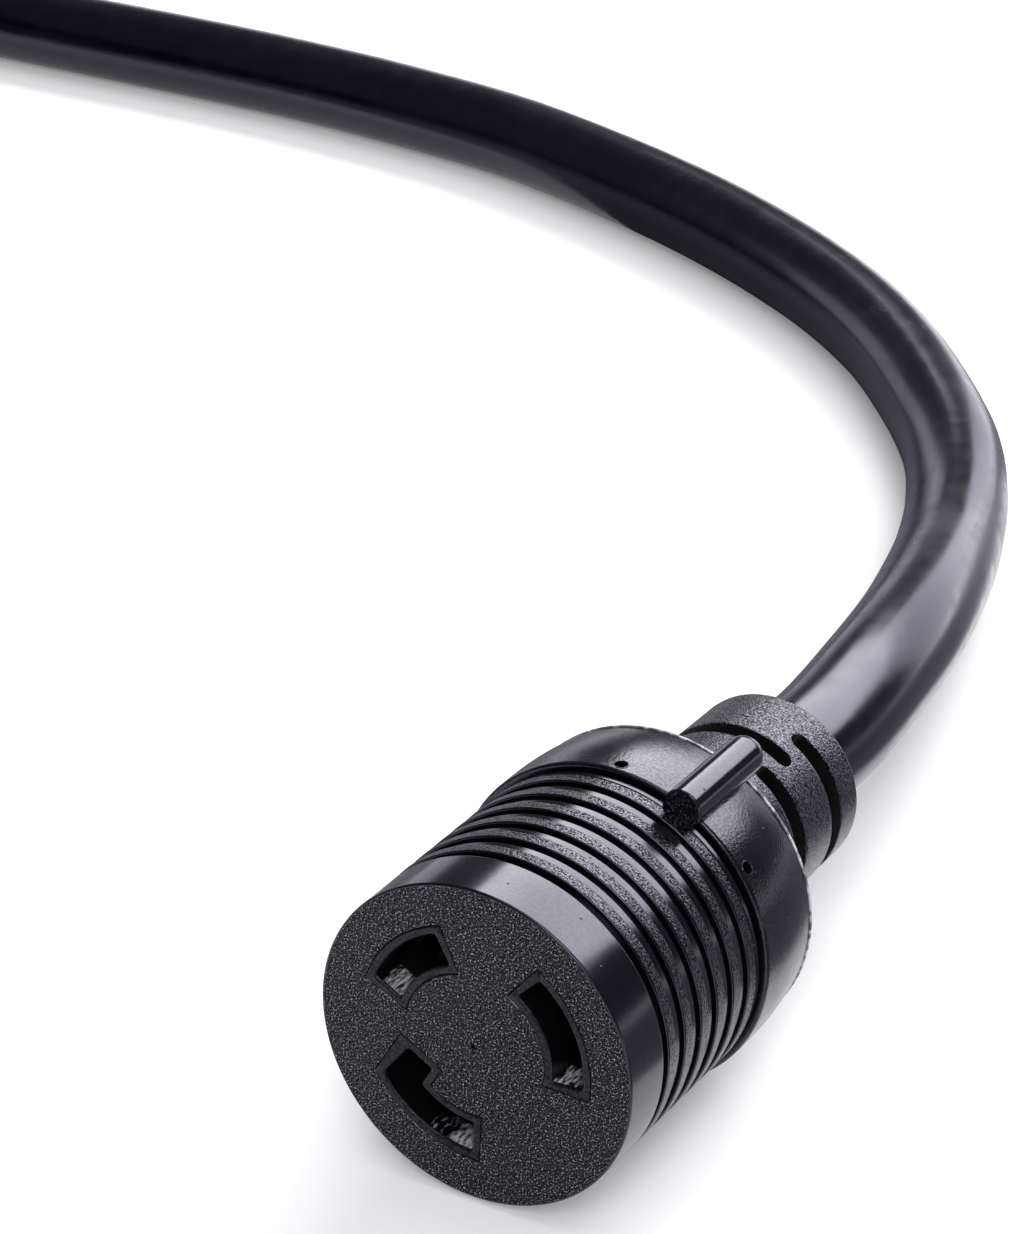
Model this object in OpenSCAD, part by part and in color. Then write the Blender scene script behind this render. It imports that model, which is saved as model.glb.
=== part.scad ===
// Thirty-ampere shore power cord: a moulded three-wire locking connector on a heavy round cord,
// with a moulded angle plug on the far end. Millimetres. The cord lies on the plane z = 0.

/* [Connector] */
// Radius of the mating face and of the grip ribs
face_r = 24; // [22.5:0.1:24.6]
// Rounding round the edge of the mating face
face_edge = 0.7; // [0.3:0.1:1.2]
// Length of the smooth band behind the face
band_l = 8.7; // [7:0.1:14]
// Number of grip ribs
rib_count = 6; // [3:1:8]
// Distance from one grip rib to the next
rib_pitch = 4.5; // [3.6:0.1:6]
// Width of the crest of a grip rib
crest_w = 2; // [1.2:0.1:2.8]
// Depth of the grooves between the ribs
groove_d = 1.1; // [0.5:0.1:1.8]
// Width of the narrow groove behind the band
first_groove_w = 1.4; // [0.8:0.1:2.4]
// Small chamfer along both edges of each crest
crest_edge = 0.2; // [0.1:0.05:0.4]
// Radius of the rear shell, which the connector lies on
shell_r = 24.8; // [24.6:0.1:27]
// Rounding round the front of the rear shell
shell_edge = 0.7; // [0.3:0.1:1]
// Length of the rear shell up to its crease
shell_l = 14.5; // [12:0.1:18]
// Length of the crowned part of the shell, in front of the crease
crown_l = 10.5; // [4:0.1:11]
// How much the crown narrows towards the crease
crown_drop = 1; // [0.4:0.05:1.2]
// Radius of the rounded rear rim
rim_r = 5; // [2.5:0.1:6]
// Slope at which the rim leaves the crease of the rear shell
rim_slope = 22; // [10:1:40]

/* [Index bar] */
// Direction of the index bar round the connector, from the right-hand side
bar_angle = 62; // [0:1:90]
// Radius of the index bar
bar_r = 2.95; // [2:0.05:4]
// Length of the bar's straight part
bar_l = 17.6; // [12:0.1:20]
// How far the bar reaches forward over the ribs
bar_overhang = 3.1; // [1:0.1:8]
// Chamfer round the bar's front end
bar_edge = 0.3; // [0.1:0.05:0.6]

/* [Support-pin holes] */
// Radius of the small holes that the mould's pins leave
pin_hole_r = 0.85; // [0.5:0.05:1.2]
// Depth of these holes
pin_hole_d = 3; // [1:0.1:4]
// Angle from the index bar to each hole
pin_hole_angle = 26.7; // [15:0.1:40]
// Distance of the holes behind the front of the rear shell
pin_hole_s = 1.8; // [1.2:0.1:6]

/* [Mating slots] */
// Radius of the circle that the slots lie on
slot_circle_r = 14.3; // [13.6:0.1:15]
// Radial width of a slot
slot_w = 4.6; // [4.2:0.1:5.2]
// Direction of the line slot's middle
line_angle = 24; // [10:1:40]
// Half of the line slot's span
line_half = 30; // [20:1:34]
// Direction of the neutral slot's middle
neutral_angle = 134.5; // [120:0.5:145]
// Half of the neutral slot's span
neutral_half = 24.5; // [18:0.5:28]
// How much the slot ends turn inwards from the radius
slot_tilt = 9; // [0:1:15]
// How far the square end of the ground slot leans away from the centre line
ground_end_x = 0.7; // [0:0.1:1]
// Direction of the hooked end of the ground slot
hook_turn = 59; // [50:1:66]
// Width of the ground slot's hook
hook_w = 5; // [4:0.1:6]
// How much the hook's opening narrows towards its tip
hook_lean = 0.8; // [0:0.1:1.2]
// Wall of the collar round each slot
collar_wall = 1.15; // [0.8:0.05:1.5]
// Fine gap between a collar and the face round it
collar_gap = 0.1; // [0.05:0.05:0.2]
// Radius of the gate mark in the middle of the face
gate_r = 0.5; // [0.3:0.1:1]

/* [Contact carrier] */
// Thickness of the soft face over the carrier
skin_t = 2; // [1.5:0.1:3]
// Radius of the carrier and its cap
carrier_r = 19.2; // [19:0.1:20]
// Length of the carrier
carrier_l = 17.5; // [15:0.1:20]
// Depth of the narrow mouth of each slot
lip_l = 5; // [4:0.1:6]
// How much wider the space behind the mouth is
chamber_gap = 0.5; // [0.3:0.05:0.6]
// Thickness of the cap that closes the carrier
cap_t = 6; // [4:0.1:7]

/* [Contacts and wires] */
// How far the contacts start behind the slot mouths
contact_back = 5; // [3:0.1:7]
// Thickness of the contact brass
brass_t = 1.2; // [0.8:0.1:1.4]
// Radius of a crimp barrel
barrel_r = 2.6; // [2.4:0.1:3]
// Length of a crimp barrel
barrel_l = 10.8; // [9:0.1:12]
// Distance of the crimp barrels from the centre line
barrel_at = 10.5; // [9.5:0.1:11.5]
// Radius of the copper strands of one wire
strand_r = 1.5; // [1.2:0.1:1.8]
// Radius of an insulated wire
wire_r = 2.3; // [2:0.1:2.6]
// Fit between metal, moulding and wire inside the housings
fit_gap = 0.1; // [0.05:0.05:0.2]

/* [Cord] */
// Diameter of the cord
cord_d = 18.3; // [17:0.1:18.4]
// Distance from one turn of the coil to the next
coil_pitch = 18.9; // [18.9:0.1:21]
// Height of the second layer of the coil above the first
layer_h = 19; // [19:0.1:22]
// Radius of the coil's outermost turn
coil_r = 160; // [150:1:175]
// Full turns in each of the two layers, and half a turn more
coil_turns = 4; // [2:1:4]

/* [Strain relief] */
// Length of the connector's strain relief behind the shell
relief_l = 31.8; // [28:0.1:40]
// Radius of the strain relief at its root
relief_root_r = 16; // [15.2:0.1:17]
// Radius of the strain relief along its slotted part
relief_r = 14.3; // [13.8:0.1:15]
// Radius of the strain relief at its end
relief_end_r = 14; // [13.4:0.1:14.8]
// Length of the cone at the root
relief_cone_l = 9; // [6:0.1:10]
// Rounding round the end of the strain relief
relief_edge = 0.8; // [0.4:0.1:1.2]
// Number of flex slots
flex_count = 3; // [1:1:3]
// Width of a flex slot
flex_w = 2.95; // [2:0.05:3.4]
// Distance from one flex slot to the next
flex_pitch = 5.75; // [4.6:0.05:6]
// Distance from the shell to the first flex slot
flex_first = 11.5; // [10.5:0.1:12.5]
// Rubber left between a flex slot and the cord
flex_floor = 1.25; // [0.8:0.05:1.6]
// Direction that the flex slots open to
flex_angle = 146.4; // [120:0.1:160]
// Radius of the flange that holds a strain relief in its housing
flange_r = 18.5; // [17.5:0.1:20]
// Thickness of that flange
flange_t = 3.5; // [2.5:0.1:4]
// Thickness of the housing wall behind that flange
rear_wall_t = 4.2; // [3.5:0.1:5]

/* [Plug] */
// Radius of the plug's round head
head_r = 25; // [24:0.1:27]
// Thickness of the head
head_t = 30; // [29:0.1:34]
// Rounding round the back of the head
head_back_edge = 3; // [1.5:0.1:4]
// Number of grooves round the head
head_groove_count = 3; // [1:1:4]
// Radius of the neck that the cord enters
neck_r = 14.4; // [13.8:0.1:14.4]
// Distance from the middle of the head to the end of the neck
neck_l = 38; // [36:0.1:44]
// Rounding round the end of the neck
neck_edge = 1.5; // [0.5:0.1:1.6]
// Half width of the shoulders where they meet the head
shoulder_w = 23.4; // [20:0.1:23.8]
// Height of the shoulders between neck and head
shoulder_t = 21; // [16:0.1:25]
// Length of the plug's strain relief
plug_relief_l = 30; // [26:0.1:36]
// Radius of the plug's strain relief at its root
plug_relief_r = 12.8; // [12.4:0.1:13]
// Radius of the plug's strain relief at its end
plug_relief_end_r = 12.5; // [12:0.1:12.8]
// Radius of the flange inside the neck
neck_flange_r = 13.4; // [13.2:0.1:13.5]
// Radius of the core that holds the blades
core_r = 18.5; // [18:0.1:20]
// Thickness of the core under the face
core_t = 13; // [11:0.1:13.5]
// Thickness of the soft face over the core
plug_skin_t = 2; // [1.5:0.1:2.5]

/* [Blades] */
// Width of the two flat blades
blade_w = 7.9; // [6:0.1:9]
// Thickness of the two flat blades
blade_t = 1.6; // [1.2:0.1:2]
// Length of the flat blades in front of the face
blade_l = 19; // [16:0.1:22]
// Half of the distance between the middles of the flat blades
blade_y = 9.7; // [9:0.1:10.4]
// Distance of the flat blades from the middle of the head, towards the cord
blade_x = 4.5; // [4:0.1:5.5]
// Bevel at the tip of a blade
blade_tip = 0.5; // [0.2:0.1:0.6]
// Radius of the round ground pin
pin_r = 2.4; // [2:0.1:2.6]
// Radius of the ground pin's shank inside the head
shank_r = 2; // [1.6:0.1:2]
// Length of the ground pin in front of the face
pin_l = 21.5; // [18:0.1:24]
// Distance of the ground pin from the middle of the head, away from the cord
pin_x = 9.5; // [8:0.1:11]

/* [Hidden] */

$fn = 96;
eps = 0.01;

black_pvc = [0.09, 0.09, 0.1];
black_rubber = [0.07, 0.07, 0.08];
dark_nylon = [0.15, 0.15, 0.16];
brass = [0.76, 0.62, 0.32];
copper = [0.72, 0.42, 0.26];
white_pvc = [0.9, 0.9, 0.88];
green_pvc = [0.1, 0.45, 0.2];

// Stations along the connector, as distances behind the mating face.
floor_r = face_r - groove_d;
ribs_s = band_l + first_groove_w;
ribs_end = ribs_s + (rib_count - 1) * rib_pitch + crest_w;
shell_s = ribs_end + first_groove_w + 0.6;
crease_s = shell_s + shell_l;
crease_r = shell_r - crown_drop;
// The rim is an arc that starts at rim_slope, so its middle lies a little inside the shell.
rim_mid_s = crease_s - rim_r * sin(rim_slope);
rim_mid_r = crease_r - rim_r * cos(rim_slope);
shell_end = rim_mid_s + rim_r;
connector_l = shell_end + relief_l;

cord_r = cord_d / 2;
carrier_end = skin_t + carrier_l;
cap_end = carrier_end + cap_t;
contact_s = lip_l + contact_back;
barrel_end = carrier_end + brass_t + barrel_l;
strip_gap = 0.6;
strip_l = 3;
wire_s = barrel_end + strip_gap;
flange_s = shell_end - rear_wall_t - flange_t;
wire_in_jacket = 2 * wire_r / sqrt(3) + 2 * fit_gap;
wire_end_l = 16;
bend_angle = 54;
bend_room = 2;
knuckle = 0.06;
throat_l = 4;
throat_r = wire_in_jacket + wire_r + 4 * fit_gap;

slot_in = slot_circle_r - slot_w / 2;
slot_out = slot_circle_r + slot_w / 2;
ground_angle = -121;
ground_half = 24;
hook_corner_r = slot_in - 0.6;
hook_corner_angle = 196;
hook_l = 6;
gate_d = 0.7;

// Directions that the three contacts lie in, in the order line, neutral, ground.
contact_dirs = [line_angle, neutral_angle, ground_angle];
contact_halves = [line_half, neutral_half, ground_half];

// Stations of the plug, as distances from the middle of its head towards the cord.
axis_h = head_t / 2;
foot_h = axis_h - wire_in_jacket;
plug_barrel_s = 9;
plug_barrel_l = 9;
plug_strip_s = plug_barrel_s + plug_barrel_l + strip_gap;
plug_flange_s = neck_l - rear_wall_t - flange_t;
plug_barrel_y = 8.3;
head_groove_s = 7;
head_crest_w = 2.2;
head_groove_w = 2.4;

// Round numbers that lay the cord: along +Y out of the connector, down to the surface,
// round to the left, and into the coil.
lead_route = [[-2, 80, 24.6], [-6, 101, 22.6], [-13, 125, 18.3], [-22, 151, 13.1],
              [-32, 176, 9.9], [-43, 197, 9.15], [-58, 217, 9.15], [-75, 236, 9.15],
              [-95, 253, 9.15], [-118, 268, 9.15], [-143, 281, 9.15], [-170, 292, 9.15],
              [-198, 301, 9.15], [-227, 306, 9.15], [-257, 309, 9.15], [-288, 310, 9.15],
              [-320, 310, 9.15], [-352, 310, 9.15], [-384, 310, 9.15], [-416, 310, 9.15]];
coil_mid = [-455, 150];
tail_route = [[-401, -10, 27.3], [-383, -10, 24.5], [-363, -10, 20.3], [-343, -10, 16.8],
              [-322, -10, 15.2]];
plug_mid = [-212, -10];

// Turns each point of a profile, given as [distance behind the face, radius], the right way up.
function lathe_points(pts) = [for (p = pts) [p[1], -p[0]]];
function polar(r, a) = [r * cos(a), r * sin(a)];

// Puts a piece that is drawn with its mating face up, at its place in the connector.
module in_connector() translate([0, -connector_l / 2, shell_r]) rotate([90, 0, 0]) children();
module turned(pts) rotate_extrude() polygon(lathe_points(pts));
module disc(s1, s2, r) translate([0, 0, -s2]) cylinder(h = s2 - s1, r = r);
module at_station(s1, s2) translate([0, 0, -s2]) linear_extrude(s2 - s1) children();

// A slot along the circle, grown by g all round, with ends that turn inwards by slot_tilt.
module arc_slot(mid, half, g = 0) {
    span = half + g / slot_circle_r * 180 / PI;
    reach = 5;
    near1 = polar(slot_circle_r, mid - span);
    near2 = polar(slot_circle_r, mid + span);
    way1 = polar(reach, mid - span + slot_tilt);
    way2 = polar(reach, mid + span - slot_tilt);
    intersection() {
        difference() {
            circle(r = slot_out + g);
            circle(r = slot_in - g);
        }
        polygon([near1 - way1, near1 + way1, polar(2 * slot_out, mid), near2 + way2,
                 near2 - way2]);
    }
}

// The ground slot: square at its lower end and hooked inwards at the other, grown by g.
module ground_slot(g, lean) {
    along = polar(1, hook_turn);
    across = polar(1, hook_turn - 90);
    corner = polar(hook_corner_r, hook_corner_angle) + g * (along - across);
    tip = corner + (hook_w + 2 * g) * across;
    start = corner + 1.5 * across;
    intersection() {
        circle(r = slot_out + g);
        union() {
            difference() {
                polygon([start, start - 14 * along, [-slot_out, -1.4 * slot_out],
                         [-ground_end_x + g, -1.4 * slot_out], [g, -slot_in + 3]]);
                circle(r = slot_in - g);
            }
            polygon([corner + lean * across, tip, tip - hook_l * along,
                     start - 2 * hook_l * along, corner - 2 * hook_l * along,
                     corner - (hook_l + 0.5) * along]);
        }
    }
}

module all_slots(g = 0) {
    arc_slot(line_angle, line_half, g);
    arc_slot(neutral_angle, neutral_half, g);
    ground_slot(g, g > 0 ? 0 : hook_lean);
}

// ---- Connector ----

rib_profile = [for (i = [0 : rib_count - 1]) let (s = ribs_s + i * rib_pitch)
    each [[s, floor_r], [s, face_r - crest_edge], [s + crest_edge, face_r],
          [s + crest_w - crest_edge, face_r], [s + crest_w, face_r - crest_edge],
          [s + crest_w, floor_r]]];
// The shell: a rounded front, a straight part, a slow crown, and the rim behind its crease.
shell_profile = concat(
    [[shell_s, floor_r]],
    [for (a = [0 : 15 : 90])
        [shell_s + shell_edge * (1 - cos(a)), shell_r - shell_edge * (1 - sin(a))]],
    [for (i = [0 : 6]) [crease_s - crown_l * (1 - i / 6), shell_r - crown_drop * pow(i / 6, 2)]],
    [for (i = [1 : 8]) let (a = rim_slope + (90 - rim_slope) * i / 8)
        [rim_mid_s + rim_r * sin(a), rim_mid_r + rim_r * cos(a)]]);
body_profile = concat(
    [[0, 0]],
    [for (a = [90 : -15 : 0]) [face_edge * (1 - sin(a)), face_r - face_edge * (1 - cos(a))]],
    [[band_l, face_r], [band_l, floor_r]], rib_profile, shell_profile, [[shell_end, 0]]);

module index_bar() rotate([0, 0, bar_angle]) {
    front = shell_s - bar_overhang;
    translate([face_r + bar_r - 0.4, 0, 0]) turned(concat(
        [[front, 0], [front, bar_r - bar_edge], [front + bar_edge, bar_r]],
        [for (a = [0 : 10 : 90]) [front + bar_l + bar_r * sin(a), bar_r * cos(a)]]));
}

module pin_holes() for (side = [0, 180], turn = [-1, 1])
    rotate([0, 0, bar_angle + side + turn * pin_hole_angle])
        translate([shell_r - pin_hole_d, 0, -shell_s - pin_hole_s])
            rotate([0, 90, 0]) cylinder(h = pin_hole_d + 1, r = pin_hole_r);

module connector_body() color(black_pvc) in_connector() difference() {
    union() {
        turned(body_profile);
        index_bar();
    }
    pin_holes();
    disc(-1, gate_d, gate_r);
    at_station(-1, skin_t + eps) all_slots(collar_wall + collar_gap);
    disc(skin_t, cap_end, carrier_r);
    for (i = [0 : 2]) {
        barrel_place(i) disc(cap_end - eps, barrel_end, barrel_r + fit_gap);
        barrel_place(i) disc(barrel_end - eps, wire_s + eps, strand_r + fit_gap);
        wire_place(i) s_channel(wire_first_l, wire_shift, wire_r + fit_gap);
    }
    disc(flange_s - throat_l, flange_s, throat_r);
    disc(flange_s - eps, flange_s + flange_t, flange_r);
    disc(flange_s, shell_end + 1, relief_root_r);
}

module barrel_place(i) rotate([0, 0, contact_dirs[i]]) translate([barrel_at, 0, 0]) children();

// A round wire along +Z, total_l long, that bends after first_l and moves aside along +X.
// The knuckle at each bend is a little thicker than the wire.
module s_wire(first_l, shift, total_l, r, $fn = 32) {
    last_z = first_l + shift / tan(bend_angle);
    cylinder(h = first_l, r = r);
    translate([0, 0, first_l]) rotate([0, bend_angle, 0])
        cylinder(h = shift / sin(bend_angle), r = r);
    translate([shift, 0, last_z]) cylinder(h = total_l - last_z, r = r);
    for (p = [[0, 0, first_l], [shift, 0, last_z]]) translate(p) sphere(r = r + knuckle);
}

// The channel for such a wire, down to the throat where the three wires meet. Its pieces run
// past each other at the bend, and the slanted one is a little wider.
module s_channel(first_l, shift, r, $fn = 32) {
    past = r * tan(bend_angle / 2);
    cylinder(h = first_l + past, r = r);
    translate([0, 0, first_l]) rotate([0, bend_angle, 0]) translate([0, 0, -past])
        cylinder(h = shift / sin(bend_angle) + past, r = r + fit_gap);
}

// Where a connector wire starts: at the end of its barrel, heading for the cord.
module wire_place(i) rotate([0, 0, contact_dirs[i]])
    translate([barrel_at, 0, -wire_s]) rotate([0, 180, 0]) children();
wire_shift = barrel_at - wire_in_jacket;
wire_first_l = flange_s - bend_room - wire_shift / tan(bend_angle) - wire_s;

module contact_carrier() color(dark_nylon) in_connector() difference() {
    union() {
        disc(skin_t, carrier_end, carrier_r);
        at_station(0, skin_t + eps) all_slots(collar_wall);
    }
    at_station(-1, lip_l + eps) all_slots();
    at_station(lip_l, carrier_end + 1) all_slots(chamber_gap);
}

// The flat pad that joins a contact's leaves to its crimp barrel.
pad_r = barrel_r + 0.25;
module pad_2d(i, g = 0) rotate(contact_dirs[i]) translate([barrel_at - pad_r - g, -pad_r - g])
    square([slot_circle_r - barrel_at + pad_r, 2 * (pad_r + g)]);
module web_2d(i, g = 0) {
    arc_slot(contact_dirs[i], contact_halves[i] - 1, chamber_gap - fit_gap + g);
    pad_2d(i, g);
}

module carrier_cap() color(dark_nylon) in_connector() difference() {
    disc(carrier_end, cap_end, carrier_r);
    for (i = [0 : 2]) {
        at_station(carrier_end - 1, carrier_end + brass_t + fit_gap) web_2d(i, fit_gap);
        barrel_place(i) disc(carrier_end, cap_end + 1, barrel_r + fit_gap);
    }
}

// A spring contact: two curved leaves that the blade goes between, a web, and a crimp barrel.
module contact(i) color(brass) in_connector() {
    difference() {
        at_station(contact_s, carrier_end + brass_t)
            arc_slot(contact_dirs[i], contact_halves[i] - 1, chamber_gap - fit_gap);
        at_station(contact_s - 1, carrier_end)
            arc_slot(contact_dirs[i], contact_halves[i] + 6, chamber_gap - fit_gap - brass_t);
    }
    at_station(carrier_end, carrier_end + brass_t) pad_2d(i);
    difference() {
        barrel_place(i) disc(carrier_end + brass_t / 2, barrel_end, barrel_r);
        barrel_place(i) disc(carrier_end + 2 * brass_t, barrel_end + 1, strand_r);
    }
}

module connector_strands() color(copper) in_connector() for (i = [0 : 2])
    barrel_place(i) disc(carrier_end + 2 * brass_t, wire_s + strip_l, strand_r);

module connector_wire(i) in_connector() difference() {
    wire_place(i) s_wire(wire_first_l, wire_shift, flange_s + wire_end_l - wire_s, wire_r);
    barrel_place(i) disc(wire_s - 1, wire_s + strip_l, strand_r);
}

module connector_jacket_end() color(black_rubber) in_connector() difference() {
    disc(flange_s, connector_l, cord_r);
    for (i = [0 : 2]) rotate([0, 0, contact_dirs[i]]) translate([wire_in_jacket, 0, 0])
        disc(flange_s - 1, flange_s + wire_end_l, wire_r + fit_gap);
}

// Half-round flex slots that open to opposite sides in turn, with round ends.
module flex_slots(first_s, outer_r, flip = 0) for (i = [0 : flex_count - 1])
    rotate([0, 0, flex_angle + flip + 180 * ((i + 1) % 2)])
        translate([0, 0, -first_s - i * flex_pitch - flex_w / 2]) {
            rotate([0, 0, -90]) rotate_extrude(angle = 180)
                translate([cord_r + flex_floor, -flex_w / 2]) square([outer_r, flex_w]);
            for (side = [-90, 90]) rotate([0, 0, side]) rotate([0, 90, 0])
                translate([0, 0, cord_r + flex_floor]) cylinder(h = outer_r, r = flex_w / 2);
        }

// The outside of a strain relief from s1 to s2, with a cone at its root and a rounded end.
function relief_outline(s1, cone, s2, root, mid, end) = concat(
    [[s1, root], [s1 + cone, mid], [s2 - relief_edge, end]],
    [for (a = [75 : -15 : 0])
        [s2 - relief_edge * (1 - cos(a)), end - relief_edge * (1 - sin(a))]]);

module connector_relief() color(black_pvc) in_connector() difference() {
    turned(concat(
        [[flange_s, cord_r], [flange_s, flange_r], [flange_s + flange_t, flange_r],
         [flange_s + flange_t, relief_root_r]],
        relief_outline(shell_end, relief_cone_l, connector_l, relief_root_r, relief_r, relief_end_r),
        [[connector_l, cord_r]]));
    flex_slots(shell_end + flex_first, relief_r);
}

// ---- Cord ----

function tangent(p, i) = let (d = p[min(i + 1, len(p) - 1)] - p[max(i - 1, 0)]) d / norm(d);
function ring(mid, way, sides) = let (
    right = [way[1], -way[0], 0] / norm([way[0], way[1]]),
    up = cross(right, way))
    [for (k = [0 : sides - 1]) mid + cord_r * (right * sin(360 * k / sides) + up * cos(360 * k / sides))];

// One unbroken tube through all the points of a route, made of triangles.
module tube(route, sides) {
    n = len(route);
    points = [for (i = [0 : n - 1]) each ring(route[i], tangent(route, i), sides)];
    walls = [for (i = [0 : n - 2], k = [0 : sides - 1]) let (
        a = i * sides + k, b = i * sides + (k + 1) % sides)
        each [[a, a + sides, b + sides], [a, b + sides, b]]];
    first = [for (k = [1 : sides - 2]) [0, k, k + 1]];
    last = [for (k = [1 : sides - 2]) let (z = (n - 1) * sides) [z, z + k + 1, z + k]];
    polyhedron(points, concat(walls, first, last));
}

// The coil winds inwards on the surface, climbs in half a turn, and winds outwards on top.
coil_step = 15;
layer_angle = 360 * coil_turns + 180;
coil_angle = 2 * layer_angle + 180;
coil_in = coil_r - coil_pitch * layer_angle / 360;
climb_dip = 3.2;
function coil_radius(a) = a <= layer_angle ? coil_r - coil_pitch * a / 360
    : a <= layer_angle + 180 ? coil_in - climb_dip * sin(a - layer_angle)
    : coil_in + coil_pitch * (a - layer_angle - 180) / 360;
function climb(a) = let (t = max(0, min(1, (a - layer_angle) / 180))) t * t * (3 - 2 * t);
function coil_point(a) = let (r = coil_radius(a), turn = 90 + a)
    [coil_mid[0] + r * cos(turn), coil_mid[1] + r * sin(turn), cord_r + layer_h * climb(a)];
coil_in_point = [coil_mid[0] + cord_d, coil_mid[1] + coil_r, cord_r];
coil_out_point = [coil_mid[0] + cord_d, coil_mid[1] - coil_r, cord_r + layer_h];
coil_route = concat([coil_in_point], [for (a = [0 : coil_step : coil_angle]) coil_point(a)],
                    [coil_out_point]);
loop_rings = 360 / coil_step;
coil_gap = min([for (i = [1 : len(coil_route) - 2 - loop_rings / 2])
    min([for (j = [i + loop_rings / 2 : len(coil_route) - 2])
        norm(coil_route[i] - coil_route[j])])]) - cord_d;
echo(str("least gap of the coil to itself, mm: ", coil_gap));

module cord_lead() color(black_rubber)
    tube(concat([[0, connector_l / 2, shell_r], [0, connector_l / 2 + cord_d, shell_r]],
                lead_route, [coil_in_point]), 12);
module cord_coil() color(black_rubber) tube(coil_route, 6);
module cord_tail() color(black_rubber)
    tube(concat([coil_out_point, coil_out_point + [cord_d, 0, 0]], tail_route,
                [plug_end - [cord_d, 0, 0], plug_end]), 12);

// ---- Plug ----

plug_l = neck_l + plug_relief_l;
plug_end = [plug_mid[0] - plug_l, plug_mid[1], axis_h];

// The head lies on its back at plug_mid, with its blades up and the cord towards -X.
module in_plug() translate([plug_mid[0], plug_mid[1], 0]) children();
// Pieces on the cord's axis are drawn as in the connector, with stations counted towards the cord.
module on_plug_axis() in_plug() translate([0, 0, axis_h]) rotate([0, 90, 0]) children();
module plug_turned(pts) on_plug_axis() rotate_extrude() polygon(lathe_points(pts));

blade_places = [[-blade_x, -blade_y, -45], [-blade_x, blade_y, 45]];

module blade_2d(g = 0) square([blade_w + 2 * g, blade_t + 2 * g], center = true);
module all_blades_2d(g = 0) {
    for (b = blade_places) translate([b[0], b[1]]) rotate(b[2]) blade_2d(g);
    translate([pin_x, 0]) circle(r = shank_r + g);
}

core_top = head_t - plug_skin_t;
core_base = core_top - core_t;
head_profile = concat(
    [[0, 0]],
    [for (a = [0 : 15 : 90])
        [head_r - head_back_edge * (1 - sin(a)), head_back_edge * (1 - cos(a))]],
    [for (i = [0 : head_groove_count - 1]) let (z = head_groove_s + i * (head_groove_w + head_crest_w))
        each [[head_r, z], [head_r - groove_d, z], [head_r - groove_d, z + head_groove_w],
              [head_r, z + head_groove_w]]],
    [for (a = [0 : 15 : 90])
        [head_r - face_edge * (1 - cos(a)), head_t - face_edge * (1 - sin(a))]],
    [[0, head_t]]);

module shoulders() translate([0, 0, axis_h - shoulder_t / 2]) linear_extrude(shoulder_t)
    polygon([[-8, shoulder_w], [-neck_l + rear_wall_t + 2, neck_r - 2],
             [-neck_l + rear_wall_t + 2, -neck_r + 2], [-8, -shoulder_w]]);

// The three plug wires, in the order line, neutral, ground; the ground wire runs straight.
plug_wire_y = [-plug_barrel_y, plug_barrel_y, 0];
plug_wire_turn = [-60, 60, 180];
plug_wire_l = plug_flange_s + wire_end_l - plug_strip_s;
function plug_shift(i) = [wire_in_jacket * cos(plug_wire_turn[i]) + axis_h - foot_h,
                          wire_in_jacket * sin(plug_wire_turn[i]) - plug_wire_y[i]];
function plug_first_l(i) =
    plug_flange_s - bend_room - norm(plug_shift(i)) / tan(bend_angle) - plug_strip_s;
module plug_wire_place(i) translate([-plug_strip_s, plug_wire_y[i], foot_h]) rotate([0, -90, 0])
    rotate([0, 0, atan2(plug_shift(i)[1], plug_shift(i)[0])]) children();

module plug_wire_shape(i) plug_wire_place(i)
    if (i == 2) cylinder(h = plug_wire_l, r = wire_r, $fn = 32);
    else s_wire(plug_first_l(i), norm(plug_shift(i)), plug_wire_l, wire_r);

module plug_channel(i) plug_wire_place(i)
    if (i == 2) cylinder(h = plug_wire_l - wire_end_l - 1, r = wire_r + fit_gap, $fn = 32);
    else s_channel(plug_first_l(i), norm(plug_shift(i)), wire_r + fit_gap);

module plug_rod(i, s1, s2, r) translate([-s2, plug_wire_y[i], foot_h])
    rotate([0, 90, 0]) cylinder(h = s2 - s1, r = r, $fn = 48);

// The flat foot that joins a blade or the pin to its crimp barrel.
foot_base = foot_h - barrel_r;
module foot_2d(i, g = 0) {
    tall = 2 * (barrel_r + g);
    from = i == 2 ? pin_x + shank_r : -blade_x + blade_w / 2;
    translate([-plug_barrel_s - 1, plug_wire_y[i] - barrel_r - g])
        square([from + plug_barrel_s + 1 + g, tall]);
}
module foot(i, g = 0) translate([0, 0, foot_base - g]) linear_extrude(brass_t + 2 * g) foot_2d(i, g);

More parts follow.
